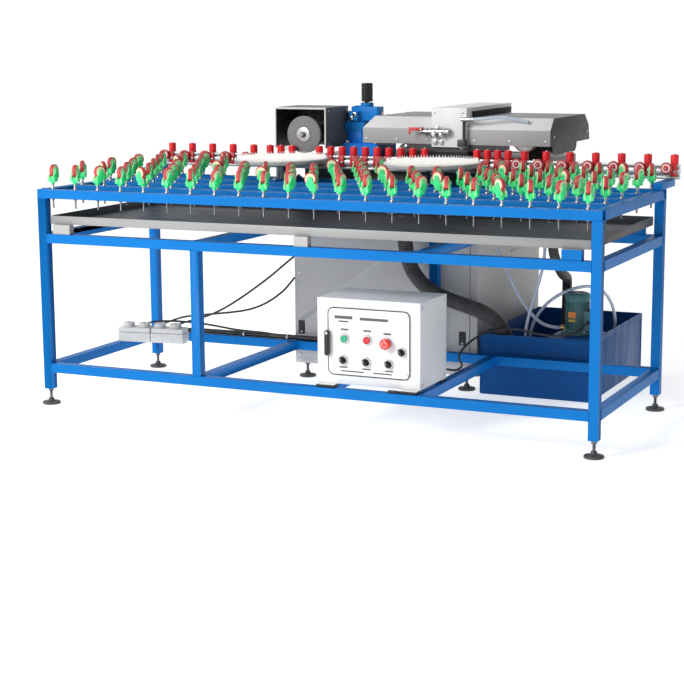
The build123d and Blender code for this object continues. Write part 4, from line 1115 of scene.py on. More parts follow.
def build_fence():
    places = [(x + n * pitch, wheeled) for x, pitch, count, wheeled in FENCE_RUNS for n in range(count)]
    roller = [
        (4.1, 999), (15, 999), (16.3, 1000.4), (16.5, 1003), (16.5, 1031), (16.2, 1033), (14.6, 1034.6),
        (10, 1035.3), (6.6, 1035.5), (6.2, 1034.2), (4.1, 1034.2), (4.1, 999),
    ]
    ring = [(17.5, 0.4), (22, 0), (23.6, 1), (24, 2.5), (24, 11.5), (23.6, 13), (22, 14), (17.5, 13.6)]
    white = [(11, 1.2), (17.6, 0.8), (17.6, 13.2), (11, 12.8)]
    centre = [(4.1, 1.6), (6, -1), (9.5, -1), (11.2, 1.0), (11.2, 13), (9.5, 14), (4.1, 14)]
    groups = (
        ("fence_roller_set", "fence_wheel_set", "fence_rollers", "fence_wheels", MACHINE, MACHINE,
         places[1:]),
        ("moving_fence_roller", "moving_fence_wheel", "fence_roller_1", "fence_wheel_1",
         "fence_roller", "fence_wheel", places[:1]),
    )
    for roller_name, wheel_name, roller_node, wheel_node, roller_body, wheel_body, stands in groups:
        rollers = Piece(roller_name).add(turned(roller, 28), ROLLER_RED, [put(x, 1020, 0) for x, _ in stands])
        rollers.done(roller_body, "roller_red", roller_node)
        hubs = [put(x - 27, 985, 981, "Y") for x, wheeled in stands if wheeled]
        wheels = Piece(wheel_name).add(turned(ring, 32), TYRE_RED, hubs)
        wheels.add(turned(white, 28), WHITE_HUB, hubs)
        wheels.add(turned(centre, 24), ROLLER_RED, hubs)
        wheels.done(wheel_body, "roller_red", wheel_node)
    brackets = Piece("fence_bracket_set").add(copied("fence_brackets", 0.8, 2, 9.0), BRACKET_RED)
    screw_heads(brackets, 6.0, 4.0, [put(x + 5, 1003, 966, "-Y") for x, _ in places])
    brackets.add(hexagon(5.5, 3.8, 4.6, 0.2), DARK_SEAM_AND_SHADE, [put(x + 5, 1003, 966, "-Y") for x, _ in places])
    brackets.add(hexagon(8.0, 1034.2, 1038.5, 0.5), STEEL, [put(x, 1020, 0) for x, _ in places])
    brackets.add(hexagon(8.0, 0, 4.5, 0.5), STEEL, [put(x - 27, 984.6, 981, "-Y") for x, w in places if w])
    brackets.done(MACHINE, "bracket_red", "fence_brackets")
    Piece("fence_extrusion").add(copied("fence_rail", 0.8, 2, 100.0), RAIL).done(
        MACHINE, "fence_aluminium", "fence_rail")


# ---- round brush tables ----
LEFT_DISC_X, RIGHT_DISC_X = (middle(limits(f"brush_disc_{side}")[0]) for side in ("left", "right"))
DISC_Y = middle(limits("brush_disc_left")[1])
DISC_RADIUS = 205.0
TUFT_GAP = 10.5
BRISTLES_IN_TUFT = 5
RIM_GAP = 13.0
RIM_RISE = 7.5
BRISTLE_BOTTOM = 998.0
BRISTLE_TOP = 1008.5


def bristle_field(x):
    """Tufts of splayed bristles in rings over the disc's top, taller and further apart at the rim."""
    shape = bmesh.new()
    rings = int((DISC_RADIUS - 6) / TUFT_GAP)
    for ring in range(rings + 1):
        radius = ring * TUFT_GAP
        rim = ring >= rings
        count = max(1, round(2 * pi * radius / (RIM_GAP if rim else TUFT_GAP)))
        for tuft in range(count):
            angle = 2 * pi * (tuft + 0.5 * (ring % 2)) / count
            outward = Vector((*polar(1.0, angle), 0))
            root = Vector((x, DISC_Y, 0)) + outward * radius
            for _ in range(BRISTLES_IN_TUFT):
                lean = outward * random.uniform(0.0, 4.0) * (radius / DISC_RADIUS) ** 3
                spread = 0.7 if rim else 2.6
                aside = (random.uniform(-spread, spread), random.uniform(-spread, spread))
                foot = root + Vector((*aside, BRISTLE_BOTTOM))
                tip = foot + lean + Vector((random.uniform(-1.8, 1.8), random.uniform(-1.8, 1.8), 0))
                tip.z = random.uniform(BRISTLE_TOP - 3.0, BRISTLE_TOP) + (RIM_RISE if rim else 0.0)
                base = [
                    shape.verts.new(foot + 1.9 * Vector((*polar(1.0, turn), 0)))
                    for turn in (0.0, 2.094, 4.189)
                ]
                point = shape.verts.new(tip)
                for side in range(3):
                    shape.faces.new((base[side], base[(side + 1) % 3], point))
    return shape


def build_discs():
    plate = [
        (10.1, 961), (30, 961), (30, 976), (198, 976), (202, 977), (204.5, 980), (205, 984), (205, 994),
        (204, 997.5), (201, 999), (197, 998.2), (196, 997.5), (10.1, 997.5), (10.1, 961),
    ]
    for side, x in (("left", LEFT_DISC_X), ("right", RIGHT_DISC_X)):
        disc = Piece(f"{side}_brush_table")

        def paint(centre, normal):
            # Painted shade: faces below z 990, the rim side and underside, take the darker rim colour
            return SHADED_DISC_RIM if centre.z < 990 else None

        disc.add(turned(plate, 72), DISC_FACE, put(x, DISC_Y, 0), paint=paint)
        disc.add(bristle_field(x), BRISTLE)
        disc.done(f"{side}_disc", "brush_white", f"brush_disc_{side}")


# ---- cabinet and control box ----
CABINET_LEFT = 720.0
CABINET_RIGHT = limits("cabinet_body")[0][1]
CABINET_BACK = limits("cabinet_body")[1][1]
LATCH_PLACES = ((754.0, 232.0), (1524.0, 232.0))


def louvres(rows, width, pitch):
    """A stack of pressed ventilation louvres, facing along +Z of its own frame."""
    shape = bmesh.new()
    for row in range(rows):
        y = row * pitch
        points = [(-width / 2, y), (width / 2, y), (width / 2 - 6, y + 9), (-width / 2 + 6, y + 9)]
        low = [shape.verts.new((px, py, 0)) for px, py in points]
        high = [shape.verts.new((px * 0.96, y + 1, 5.5)) for px, _ in points[:2]]
        shape.faces.new((low[0], low[1], high[1], high[0]))
        shape.faces.new((high[0], high[1], low[2], low[3]))
        shape.faces.new((low[1], low[2], high[1]))
        shape.faces.new((low[3], low[0], high[0]))
    return shape


def build_cabinet():
    def paint(centre, normal):
        return BLACK if centre.x < CABINET_LEFT - 0.5 else None

    cabinet = Piece("cabinet_shell").add(copied("cabinet_body", 1.6, 2, 40.0), CABINET, paint=paint)
    seam = prism(rounded_outline((730.5, 1557.5), (90.5, 861.5), 2.0, 2), 0, 0.8, 0)
    cabinet.add(seam, DARK_SEAM_AND_SHADE, put(0, 925, 0, "-Y"))
    back = Matrix.Translation(((CABINET_LEFT + CABINET_RIGHT) / 2, CABINET_BACK, 0)) @ ON_BACK
    cabinet.add(prism(rounded_outline((-397, 397), (98, 852), 9, 4), 0, 0.5, 0), DARK_SEAM_AND_SHADE, back)
    cabinet.add(prism(rounded_outline((-394, 394), (101, 849), 8, 4), 0, 2.2, 0.8), CABINET, back)
    cabinet.add(louvres(9, 240, 20), CABINET, back @ Matrix.Translation((0, 560, 2.2)))
    fasteners = [back @ Matrix.Translation((x, z, 2)) for x in (-378, 378) for z in (120, 475, 830)]
    screw_heads(cabinet, 9, 3.2, fasteners, 24)
    cabinet.add(box((-7, 7), (-1.1, 1.1), (3.0, 3.7), 0.3), DARK_SEAM_AND_SHADE, fasteners)
    for x, across in ((-330, 30), (-282, 24), (-242, 24)):
        gland = back @ Matrix.Translation((x, 160, 2))
        cabinet.add(hexagon(across, 0, 8, 0.8), BLACK, gland)
        cabinet.add(disc_shape(across * 0.36, 7, 18, 2.0, 24), BLACK, gland)
    cabinet.add(louvres(9, 240, 20), CABINET, Matrix.Translation((CABINET_RIGHT, 1460, 560)) @ ON_RIGHT)
    screws = grid((745, 1543), 921, (110, 480, 845), "-Y")
    cabinet.add(disc_shape(6, 0, 2.6, 1.2, 16), STEEL, screws)
    cabinet.add(threaded(9.0, 0, 22, 3.0), BLACK,
                [put(702, 996 + 16 * n, z, "Y") for n, z in ((0, 548), (1, 456))])
    cabinet.done(MACHINE, "cabinet_grey", "cabinet_body")

    latches = Piece("paddle_latch_pair")
    spots = [put(x, 923, z, "-Y") for x, z in LATCH_PLACES]
    latches.add(prism(rounded_outline((-15, 15), (-30, 30), 4), 0.0, 2.2, 0.5), BLACK, spots)
    latches.add(prism(rounded_outline((-11.5, 11.5), (-14, 26), 2), 2.0, 3.6, 0.6), BLACK, spots)
    latches.add(prism(rounded_outline((-9, 9), (-26, -17), 2), 2.0, 3.0, 0.4), BLACK, spots)
    latches.add(disc_shape(4.2, 2.0, 3.9, 0.4, 18), CHROME,
                [s @ Matrix.Translation((0, -21.5, 0)) for s in spots])
    latches.add(box((-7, 7), (-10, -8.6), (3.4, 3.9), 0.2), DARK_SEAM_AND_SHADE,
                [s @ Matrix.Translation((0, 5.0 * n, 0)) for s in spots for n in range(7)])
    latches.done("latches", "black_plastic", "cabinet_latches")


BOX_RIGHT = limits("control_box")[0][1]
BOX_BOTTOM = 188.0
DOOR_FRONT = 36.0
BUTTONS = ((1376.0, 369.0, 15.0), (1472.0, 369.0, 15.0), (1556.0, 363.0, 15.0))
SELECTORS = ((1371.0, 284.0), (1468.0, 282.0), (1562.0, 281.0), (1617.0, 331.0))


SELECTOR_REST = radians(40)


def flat_on_door(x, z):
    """A place on the door's front: shapes drawn in X and Y land in X and Z, and rise towards -Y."""
    return Matrix.Translation((x, DOOR_FRONT, z)) @ TURNS["-Y"]


def build_control_box():
    def paint(centre, normal):
        if centre.z < BOX_BOTTOM - 0.5 or centre.y > 310.5:
            return BLACK
        return None

    case = Piece("control_box_case").add(copied("control_box", 2.2, 3, 60.0), WHITE_COAT, paint=paint)
    case.add(louvres(6, 120, 16), WHITE_COAT, Matrix.Translation((1474, 310, 380)) @ ON_BACK)
    case.add(disc_shape(4.5, 0, 2.4, 1.0, 14), STEEL,
             grid(BOX_RIGHT, (62, 290), (208, 504), "X"))
    case.add(hexagon(30, 0, 7, 0.8), BLACK, [put(1284, 311, 212, "Y")])
    case.add(hexagon(19, 0, 6, 0.8), BLACK, [put(1614, 311, 222, "Y")])
    case.add(prism(rounded_outline((-24, 24), (-9, 9), 8), 0, 16, 2.0), BLACK, [put(1588, 26, 176, "-Y")])
    case.done(MACHINE, "box_white", "control_box")

    def door_paint(centre, normal):
        return CHROME if centre.y < DOOR_FRONT - 0.4 else None

    door = Piece("control_box_door").add(copied("control_door", 0.8, 2, 30.0), WHITE_COAT, paint=door_paint)
    border = prism(rounded_outline((1303.8, 1650.2), (223.8, 490.2), 25.2, 10), 0, 0.5, 0)
    inner = rounded_outline((1308.3, 1645.7), (228.3, 485.7), 20.7, 10)
    door.add(border, LINE_GREY, flat_on_door(0, 0))
    door.add(prism(inner, 0, 0.9, 0), WHITE_COAT, flat_on_door(0, 0))
    for x, z, radius in (*BUTTONS, *((x, z, 14.0) for x, z in SELECTORS)):
        ring = turned([(radius + 0.6, 0), (radius + 6.5, 0), (radius + 6.5, 1.6), (radius + 4.2, 4.5),
                       (radius + 3.2, 7.2), (radius + 0.6, 7.2), (radius + 0.6, 0)], 36)
        door.add(ring, CHROME, flat_on_door(x, z))
    blanks = [(x, z + 36, 32, 7) for x, z, _ in BUTTONS] + [(x, z - 27, 34, 6) for x, z in SELECTORS[:3]]
    blanks += [(1372, 452, 76, 12), (1500, 450, 118, 11), (1372, 436, 42, 6), (1410, 242, 96, 5),
               (1536, 242, 78, 5)]
    for x, z, width, height in blanks:
        plate = prism(rounded_outline((-width / 2, width / 2), (-height / 2, height / 2), 1.5, 3), 0.9, 1.25,
                      0)
        door.add(plate, LEGEND, flat_on_door(x, z))
    door.add(disc_shape(4.0, 0.9, 2.6, 0.8, 16), STEEL, [flat_on_door(1640, z) for z in (244, 470)])
    door.done("box_door", "box_white", "control_door")

    handle = Piece("door_handle_bar")
    grip = rounded_outline((-10.5, 10.5), (-50, 50), 9, 8)
    handle.add(prism(grip, 6.5, 19, 2.6, 3), BLACK, flat_on_door(1307, 350))
    handle.add(prism(rounded_outline((-5, 5), (-40, 28), 4, 6), 18.8, 21.5, 1.0), BLACK,
               flat_on_door(1307, 350))
    handle.add(disc_shape(8, 0.4, 8, 0.6, 24), BLACK, flat_on_door(1307, 389))
    handle.add(disc_shape(5.5, 18.5, 21.2, 0.8, 24), CHROME, flat_on_door(1307, 389))
    handle.done("handle", "black_plastic", "door_handle")


def build_controls():
    cap = [(0, -30), (5, -30), (5, 7.0), (14, 7.0), (14.8, 7.8), (14.8, 10.5), (14, 11.8), (12.4, 12.2),
           (9, 11.4), (0, 11.0)]
    for name, place, material, slot in (
        ("start_button", BUTTONS[0], GREEN_CAP, "green_button"),
        ("stop_button", BUTTONS[1], RED_CAP, "red_button"),
    ):
        Piece(f"{name}_cap").add(turned(cap, 36), material, flat_on_door(*place[:2])).done(name, slot, name)
    mushroom = [(0, -30), (5, -30), (5, 6), (12.6, 8), (12.6, 20), (21, 20.5), (22, 22), (22, 26), (20.6, 30),
                (17, 32.8), (11, 33.6), (0, 33.2)]
    stop = Piece("emergency_stop_cap").add(turned(mushroom, 40), MUSHROOM, flat_on_door(*BUTTONS[2][:2]))
    arrow = turned([(9.0, 33.2), (11.0, 33.2), (11.0, 33.9), (9.0, 33.9), (9.0, 33.2)], 30, 95.0)
    thirds = [Matrix.Rotation(radians(120 * n), 4, "Z") for n in range(3)]
    stop.add(arrow, WHITE_HUB, [flat_on_door(*BUTTONS[2][:2]) @ third for third in thirds])
    stop.done("emergency_stop", "red_button", "emergency_stop")
    for number, (x, z) in enumerate(SELECTORS, 1):
        place = flat_on_door(x, z) @ Matrix.Rotation(SELECTOR_REST, 4, "Z")
        knob = Piece(f"selector_{number}_knob")
        knob.add(turned([(0, -16), (5, -16), (5, 5), (13.6, 5), (13.8, 9.5), (12.6, 11), (0, 11)], 32), BLACK,
                 place)
        knob.add(prism(rounded_outline((-4.8, 4.8), (-12.5, 16), 3.6, 5), 10, 22, 1.6, 3), BLACK, place)
        knob.add(box((-0.8, 0.8), (5, 15), (22.0, 22.5), 0.15), WHITE_HUB, place)
        knob.done(f"selector_{number}", "black_plastic", f"selector_switch_{number}")


# ---- wheel grinding head ----
WHEEL_X, _, WHEEL_Z = (middle(span) for span in limits("grinding_wheel"))
GRIP_X, GRIP_Y, _ = (middle(span) for span in limits("adjusting_grip"))
COLUMN_X = 874.0
HEAD_FOOT, HEAD_TOP = limits("slide_head")[2]
GUARD_RIGHT, GUARD_BACK = limits("wheel_guard")[0][1], limits("wheel_guard")[1][1]


def build_wheel_head():
    base_bolts = grid((858, 998), (1198, 1372), 1040)
    column = Piece("slide_column_casting").add(copied("slide_column", 3.0, 3, 30.0), COLUMN_BLUE)
    column.add(hexagon(17, 0, 10), STEEL, base_bolts)
    column.add(disc_shape(13, -0.2, 2.0, 0.6, 24), STEEL, base_bolts)
    column.done(MACHINE, "column_blue", "slide_column")

    head = Piece("slide_head_casting").add(copied("slide_head", 2.5, 3, 25.0), HEAD_BLUE)
    foot, top, x, y = HEAD_FOOT, HEAD_TOP, COLUMN_X, GRIP_Y
    collar = [
        (49.5, foot + 4), (51, foot + 6), (51, foot + 13), (49.5, foot + 15), (47, foot + 15), (47, foot + 4),
        (49.5, foot + 4),
    ]
    head.add(turned(collar, 40), HEAD_BLUE, put(x, y, 0))
    head.add(box((x - 18, x + 22), (y - 66, y - 42), (foot + 10, foot + 48), 5.0, 3), HEAD_BLUE)
    skirt_z = (foot - 38, foot + 1)
    for side_x in ((x - 49, x - 46.5), (x + 46.5, x + 49)):
        head.add(box(side_x, (y - 49, y + 49), skirt_z, 0.8), HEAD_BLUE)
    for side_y in ((y - 49, y - 46.5), (y + 46.5, y + 49)):
        head.add(box((x - 47, x + 47), side_y, skirt_z, 0.8), HEAD_BLUE)
    clamp_screws = [put(x - 7, y - 64, foot + 20, "-Y"), put(x + 9, y - 64, foot + 37, "-Y")]
    head.add(disc_shape(10.5, 0, 9, 1.5, 24), CHROME, clamp_screws)
    head.add(hexagon(8, 8.8, 9.8, 0.2), DARK_SEAM_AND_SHADE, clamp_screws)
    around = [polar(21, turn, (GRIP_X, GRIP_Y)) for turn in (0.8, 2.4, 3.9, 5.5)]
    head.add(disc_shape(4.5, 0, 4, 0.8, 18), STEEL, [put(*spot, top) for spot in around])
    head.add(disc_shape(22, 0, 4, 1.2, 32), HEAD_BLUE, put(x, y, top - 16))
    head.add(disc_shape(7.5, 0, 4, 1.0, 20), BRASS, put(985, y, foot + 40, "X"))
    head.done("grinding_head", "head_blue", "slide_head")

    lobes = 22
    outline = []
    for step in range(lobes * 4):
        angle = 2 * pi * step / (lobes * 4)
        radius = 26.0 - (1.7 if step % 4 == 0 else 0.0)
        outline.append(polar(radius, angle))
    grip = Piece("ribbed_hand_grip")
    for low, high in ((8.0, 26.0), (28.5, 68.0), (70.5, 86.0)):
        grip.add(prism(outline, low, high, 0), BLACK, put(GRIP_X, GRIP_Y, HEAD_TOP))
    core = [
        (0, 0.5), (12, 0.5), (12, 7), (22, 7), (24, 9), (24, 85), (25.6, 86),
        (25.2, 88.6), (22, 90), (15, 90), (13.5, 88.5), (0, 88.5),
    ]
    grip.add(turned(core, 40), BLACK, put(GRIP_X, GRIP_Y, HEAD_TOP))
    grip.done("adjusting_grip", "black_plastic", "adjusting_grip")

    def guard_paint(centre, normal):
        # The guard's front faces take the covers' light shoulder coat, a painted highlight
        if centre.y < 1050.6:
            return COVER_LIT_SHOULDER
        inside = 567 < centre.x < 818 and centre.y < 1288 and centre.z < 1201
        return SLURRIED if inside and centre.y > 1051 else None

    guard = Piece("wheel_guard_sheet").add(copied("wheel_guard", 0.6, 1, 40.0), HAMMER, paint=guard_paint)
    screw_heads(guard, 5, 3, grid(GUARD_RIGHT, (1075, 1265), (1040, 1186), "X"))
    screw_heads(guard, 5, 3, grid((668, 758), GUARD_BACK, (1050, 1118), "Y"))
    guard.add(box((584, 796), (1046.5, 1049.5), (1010, 1031), 0.6), LIP)
    guard.done("grinding_head", "guard_black", "wheel_guard")

    axis = Matrix.Translation((WHEEL_X, 0, WHEEL_Z)) @ TURNS["Y"]
    motor = Piece("spindle_motor_casting")
    body = [(8.1, 1088), (23, 1088), (24, 1090), (24, 1106), (44, 1108), (49, 1112)]
    for fin in range(16):
        start = 1116 + fin * 9
        body += [(50, start), (50, start + 4), (45, start + 5), (45, start + 8.5)]
    body += [(50, 1262), (50, 1284), (46, 1286.9), (8.1, 1286.9), (8.1, 1088)]
    motor.add(turned(body, 36), MOTOR_GREY, axis)
    motor.done("grinding_head", "motor_grey", "spindle_motor")

    face = [(30, 1044), (79, 1044), (82, 1045.5), (83, 1048), (83, 1062), (82, 1064.5), (79, 1066), (8, 1066),
            (8, 1044)]
    flange = [(0, 1038.5), (28, 1038.5), (32, 1039.2), (34, 1041), (34.5, 1042.5), (34.5, 1045), (0, 1045)]
    washer = [(0, 1032.5), (12.5, 1032.5), (13.5, 1033.5), (13.5, 1039), (0, 1039)]
    tip = [(0, 1020.5), (5, 1020.5), (6, 1022), (6, 1034), (0, 1034)]
    shaft = [(0, 1065), (8, 1065), (8, 1135), (0, 1135)]
    wheel = Piece("grinding_wheel_disc")
    for outline, material in ((face, GRIT), (flange, SILVER), (washer, STUD), (tip, CHROME), (shaft, TURNED)):
        wheel.add(turned(outline, 64), material, axis)
    wheel.add(hexagon(19, 1026.0, 1033.0), STUD, axis)
    wheel.done("grinding_wheel", "abrasive", "grinding_wheel")


# ---- belt grinding head ----
COVER_RIGHT, COVER_TOP_Z = limits("right_belt_cover")[0][1], limits("right_belt_cover")[2][1]
COVER_SCREW_STEPS = (0, 140, 280)


def cover_screws(first):
    """Two lines of screws along a cover's top, the first of each line at the given X."""
    return [put(first + step, y, COVER_TOP_Z) for y in (1240, 1460) for step in COVER_SCREW_STEPS]


def build_belt_head():
    def top_paint(centre, normal):
        # Painted light: flat tops take the darker top coat as painted shade, and sloped shoulders take the
        # lighter coat as a painted highlight
        if normal.z > 0.98 and centre.z > COVER_TOP_Z - 3:
            return COVER_TOP
        return COVER_LIT_SHOULDER if normal.z > 0.5 and centre.z > 1119 else None

    def end_paint(centre, normal):
        return COVER_END if centre.x > COVER_RIGHT - 5 else top_paint(centre, normal)

    left = Piece("left_cover_sheet").add(copied("left_belt_cover", 1.8, 3, 20.0), COVER, paint=top_paint)
    screw_heads(left, 5, 2.8, grid((1014, 1160, 1300), 1061, 1070, "-Y"))
    screw_heads(left, 5, 2.8, cover_screws(1038))
    left.done(MACHINE, "cover_grey", "left_belt_cover")
    right = Piece("right_cover_sheet").add(copied("right_belt_cover", 1.8, 3, 20.0), COVER, paint=end_paint)
    screw_heads(right, 5, 2.8, grid((1520, 1680, 1840), 1061, 1070, "-Y"))
    screw_heads(right, 5, 2.8, cover_screws(1530))
    screw_heads(right, 6, 3.2, grid(COVER_RIGHT, (1110, 1580), 1090, "X"))
    right.done(MACHINE, "cover_grey", "right_belt_cover")

    def centre_paint(centre, normal):
        return DARK_SEAM_AND_SHADE if centre.x > 1489.5 else None

    centre_sheet = Piece("centre_cover_sheet").add(copied("centre_cover", 2.2, 3, 20.0), WHITE_COAT,
                                                   paint=centre_paint)
    screw_heads(centre_sheet, 5, 2.8, grid((1342, 1470), 1048, 1190, "-Y"))
    centre_sheet.done(MACHINE, "box_white", "centre_cover")

    bed = Piece("grinder_bed_assembly").add(copied("grinder_bed", 1.5, 2, 20.0), DARK_COAT)
    bed.add(hexagon(16, 0, 9), STEEL, grid((725, 860, 1100, 1775), (1110, 1590), 985))
    bed.add(disc_shape(8, 0, 3.5, 1.0, 20), STEEL, grid((1200, 1460), 1066, 1040, "-Y"))
    bed.add(turned([(6, 846), (9.5, 846), (7, 850), (9.5, 851), (7, 855), (9.5, 856), (7, 862), (7, 872),
                    (12, 873), (12, 880), (6, 880), (6, 846)], 24),
            BRASS, [put(1640, 1140, 0), put(1770, 1140, 0)])
    bed.done(MACHINE, "bed_dark", "grinder_bed")

    drum = [(10.1, 0), (14, 0), (16, 2), (42, 2), (44, 0), (49, 0), (50, 1.2), (50, 38.8), (49, 40), (44, 40),
            (42, 38), (16, 38), (14, 40), (10.1, 40), (10.1, 0)]
    for name, x in (("idler_drum", 1228), ("drive_drum", 1737)):
        piece = Piece(f"{name}_turned").add(turned(drum, 56), TURNED, put(x, 1075, 1076, "Y"))
        piece.done(name, "wheel_steel", name)

    def belt_paint(centre, normal):
        return BELT_EDGE if abs(normal.y) > 0.9 else None

    Piece("sanding_belt_loop").add(copied("abrasive_belt", 0.0), SAND, paint=belt_paint).done(
        MACHINE, "abrasive_belt", "abrasive_belt")

    motor = Piece("belt_motor_casting")
    body = [(0, 0), (58, 0), (66, 1.5), (70, 5), (70, 8)]
    for fin in range(6):
        start = 9 + fin * 9
        body += [(76, start), (76, start + 3.5), (70, start + 4.5), (70, start + 8.5)]
    body += [(76, 64), (76, 72), (72, 78), (64, 80), (0, 80)]
    motor.add(turned(body, 48), MOTOR_GREY, put(1770, 1250, 1086, "X"))
    motor.add(box((1690, 1790), (1210, 1290), (985, 1050), 4.0, 3), MOTOR_GREY)
    motor.add(box((-1.5, 1.5), (18, 56), (79.6, 80.6), 0.3), DARK_SEAM_AND_SHADE,
              [put(1770, 1250, 1086, "X", 20 * n) for n in range(18)])
    motor.add(hexagon(13, 0, 8), STEEL, grid((1706, 1740), (1224, 1276), 1050))
    motor.done(MACHINE, "motor_grey", "belt_motor")


def build_valve():
    def paint(centre, normal):
        if centre.x > 1493:
            return BRASS
        return DARK_COAT if centre.x > 1456 and centre.z < 1148 else None

    valve = Piece("water_valve_body").add(copied("water_valve", 0.8, 2, 4.0), CHROME, paint=paint)
    for x in (1284, 1330, 1352, 1392):
        valve.add(hexagon(30 if x > 1300 else 20, 0, 7, 0.8), CHROME, put(x, 1028, 1108, "X"))
    for x, z, radius in ((1350, 1094, 12), (1383, 1094, 10), (1366, 1124, 9)):
        valve.add(disc_shape(radius, -12, 12, 1.5, 28), CHROME, put(x, 1022, z, "-Y"))
        valve.add(hexagon(radius, 11.8, 15, 0.6), STEEL, put(x, 1022, z, "-Y"))
    valve.add(hexagon(13, 0, 5, 0.6), STEEL, grid((1346, 1374), 1040, 1062, "-Y"))
    valve.add(disc_shape(10, -1, 0.6, 0.4, 24), CHROME, grid((1346, 1374), 1040, 1062, "-Y"))
    valve.add(hexagon(19, 0, 8, 0.8), BRASS, [put(1496, 1034, 1163, "X")])
    valve.add(turned([(7.6, 0), (9.0, 0), (9.0, 9), (7.6, 9), (7.6, 0)], 28), CHROME,
              put(1517, 1034, 1163, "X"))
    valve.done(MACHINE, "valve_chrome", "water_valve")
    lever = Piece("valve_lever_handle").add(copied("valve_lever", 1.4, 3, 3.0), LEVER_RED)
    lever.add(hexagon(9, 0, 4, 0.5), STEEL, put(1292, 1010.4, 1119, "-Y"))
    lever.done("valve_lever", "red_lever", "valve_lever")
    end, before = Vector(HEAD_HOSE[-1]), Vector(HEAD_HOSE[-2])
    facing = (end - before).to_track_quat("Z", "Y").to_matrix().to_4x4()
    # A dark disc just inside the open hose end: painted shade standing for the shadowed bore
    mouth = Piece("hose_mouth")
    mouth.add(turned([(0, -0.4), (5.4, -0.4), (5.4, 0.5), (0, 0.5)], 28), DARK_SEAM_AND_SHADE,
              Matrix.Translation(end) @ facing)
    mouth.done(MACHINE, "clear_tube")


# ---- tank, pump, sockets ----
TANK_X, TANK_Y, (_, TANK_TOP) = limits("water_tank")
WATER_LEVEL = 150.0
PUMP_PLACE = (1995.0, 1052.0)


def build_tank():
    def paint(centre, normal):
        inside = TANK_X[0] + 3 < centre.x < TANK_X[1] - 3 and TANK_Y[0] + 3 < centre.y < TANK_Y[1] - 3
        return TANK_IN if inside and centre.z > 3 and centre.z < TANK_TOP - 1 else None

    tank = Piece("tank_shell").add(copied("water_tank", 1.0, 2, 60.0), TANK_OUT, paint=paint)
    lip_z = (TANK_TOP - 20, TANK_TOP - 0.5)
    for x in ((TANK_X[0] - 3, TANK_X[0] + 0.5), (TANK_X[1] - 0.5, TANK_X[1] + 3)):
        tank.add(box(x, (TANK_Y[0] - 3, TANK_Y[1] + 3), lip_z, 0.8), TANK_OUT)
    for y in ((TANK_Y[0] - 3, TANK_Y[0] + 0.5), (TANK_Y[1] - 0.5, TANK_Y[1] + 3)):
        tank.add(box((TANK_X[0] - 3, TANK_X[1] + 3), y, lip_z, 0.8), TANK_OUT)
    for x in TANK_X:
        for y in TANK_Y:
            points = [Vector((x, y, 4 + 236.0 * n / 40)) for n in range(41)]
            tank.add(swept(points, lambda n: 2.6 + 0.7 * (n % 2), 8), TANK_OUT)
    tank.done(MACHINE, "deep_blue_paint", "water_tank")

    surface = Piece("coolant_surface")
    count = 24
    points, faces = [], []
    for i in range(count + 1):
        for j in range(count + 1):
            x = TANK_X[0] + 4.2 + (TANK_X[1] - TANK_X[0] - 8.4) * i / count
            y = TANK_Y[0] + 4.2 + (TANK_Y[1] - TANK_Y[0] - 8.4) * j / count
            points.append((x, y, WATER_LEVEL + 0.6 * sin(0.05 * x) * cos(0.043 * y)))
    for i in range(count):
        for j in range(count):
            first = i * (count + 1) + j
            faces.append((first, first + count + 1, first + count + 2, first + 1))
    surface.add(shape_of(points, faces), COOLANT)
    surface.done(MACHINE, "deep_blue_paint")


def build_pump():
    x, y = PUMP_PLACE
    pump = Piece("pump_assembly")
    pump.add(box((1910, 2100), (912, 1132), (TANK_TOP, TANK_TOP + 4), 0.8), TANK_OUT)
    pump.add(disc_shape(68, 266, 276, 1.5, 48), PUMP_TEAL, put(x, y, 0))
    bolts = [put(*polar(60, turn, PUMP_PLACE), 276) for turn in (0.8, 2.36, 3.93, 5.5)]
    pump.add(hexagon(11, 0, 7), STEEL, bolts)
    body = [(0, 276), (50, 276), (52, 278), (52, 286), (46, 290), (46, 402), (50, 406), (52, 408), (52, 416),
            (0, 416)]
    pump.add(turned(body, 48), PUMP_TEAL, put(x, y, 0))
    pump.add(box((45, 52), (-1.3, 1.3), (289, 404), 0.5), PUMP_TEAL,
             [put(x, y, 0, "Z", 12 * n) for n in range(30)])
    cowl = [(0, 414), (50, 414), (54, 416), (54, 430), (51.5, 437), (45, 442), (34, 444), (0, 444)]
    pump.add(turned(cowl, 48), PUMP_TEAL, put(x, y, 0))
    pump.add(box((12, 34), (-1.6, 1.6), (443.6, 444.6), 0.3), DARK_SEAM_AND_SHADE,
             [put(x, y, 0, "Z", 30 * n) for n in range(12)])
    pump.add(box((2033, 2071), (1018, 1086), (288, 362), 3.0, 3), PUMP_TEAL)
    pump.add(box((2031, 2073), (1016, 1088), (360, 368), 2.0, 3), PUMP_TEAL)
    pump.add(disc_shape(4, 0, 2.4, 0.9, 14), STEEL, grid((2038, 2066), (1024, 1080), 368))
    pump.add(box((-17, 17), (-13, 13), (0, 1.0), 0.3), PLATE_ORANGE, put(x - 8, y - 52.2, 352, "-Y"))
    pump.add(box((-15, 15), (-5, 5), (0, 1.0), 0.3), PLATE_YELLOW, put(x - 8, y - 52.2, 328, "-Y"))
    pump.add(disc_shape(38, 70, 262, 3.0, 40), PUMP_TEAL, put(x, y, 0))
    pump.add(disc_shape(10, 0, 30, 1.0, 28), BRASS, put(1918, y, 285, "X"))
    pump.add(hexagon(26, 0, 12, 0.8), BRASS, put(1931, y, 285, "X"))
    pump.done(MACHINE, "pump_teal", "pump")


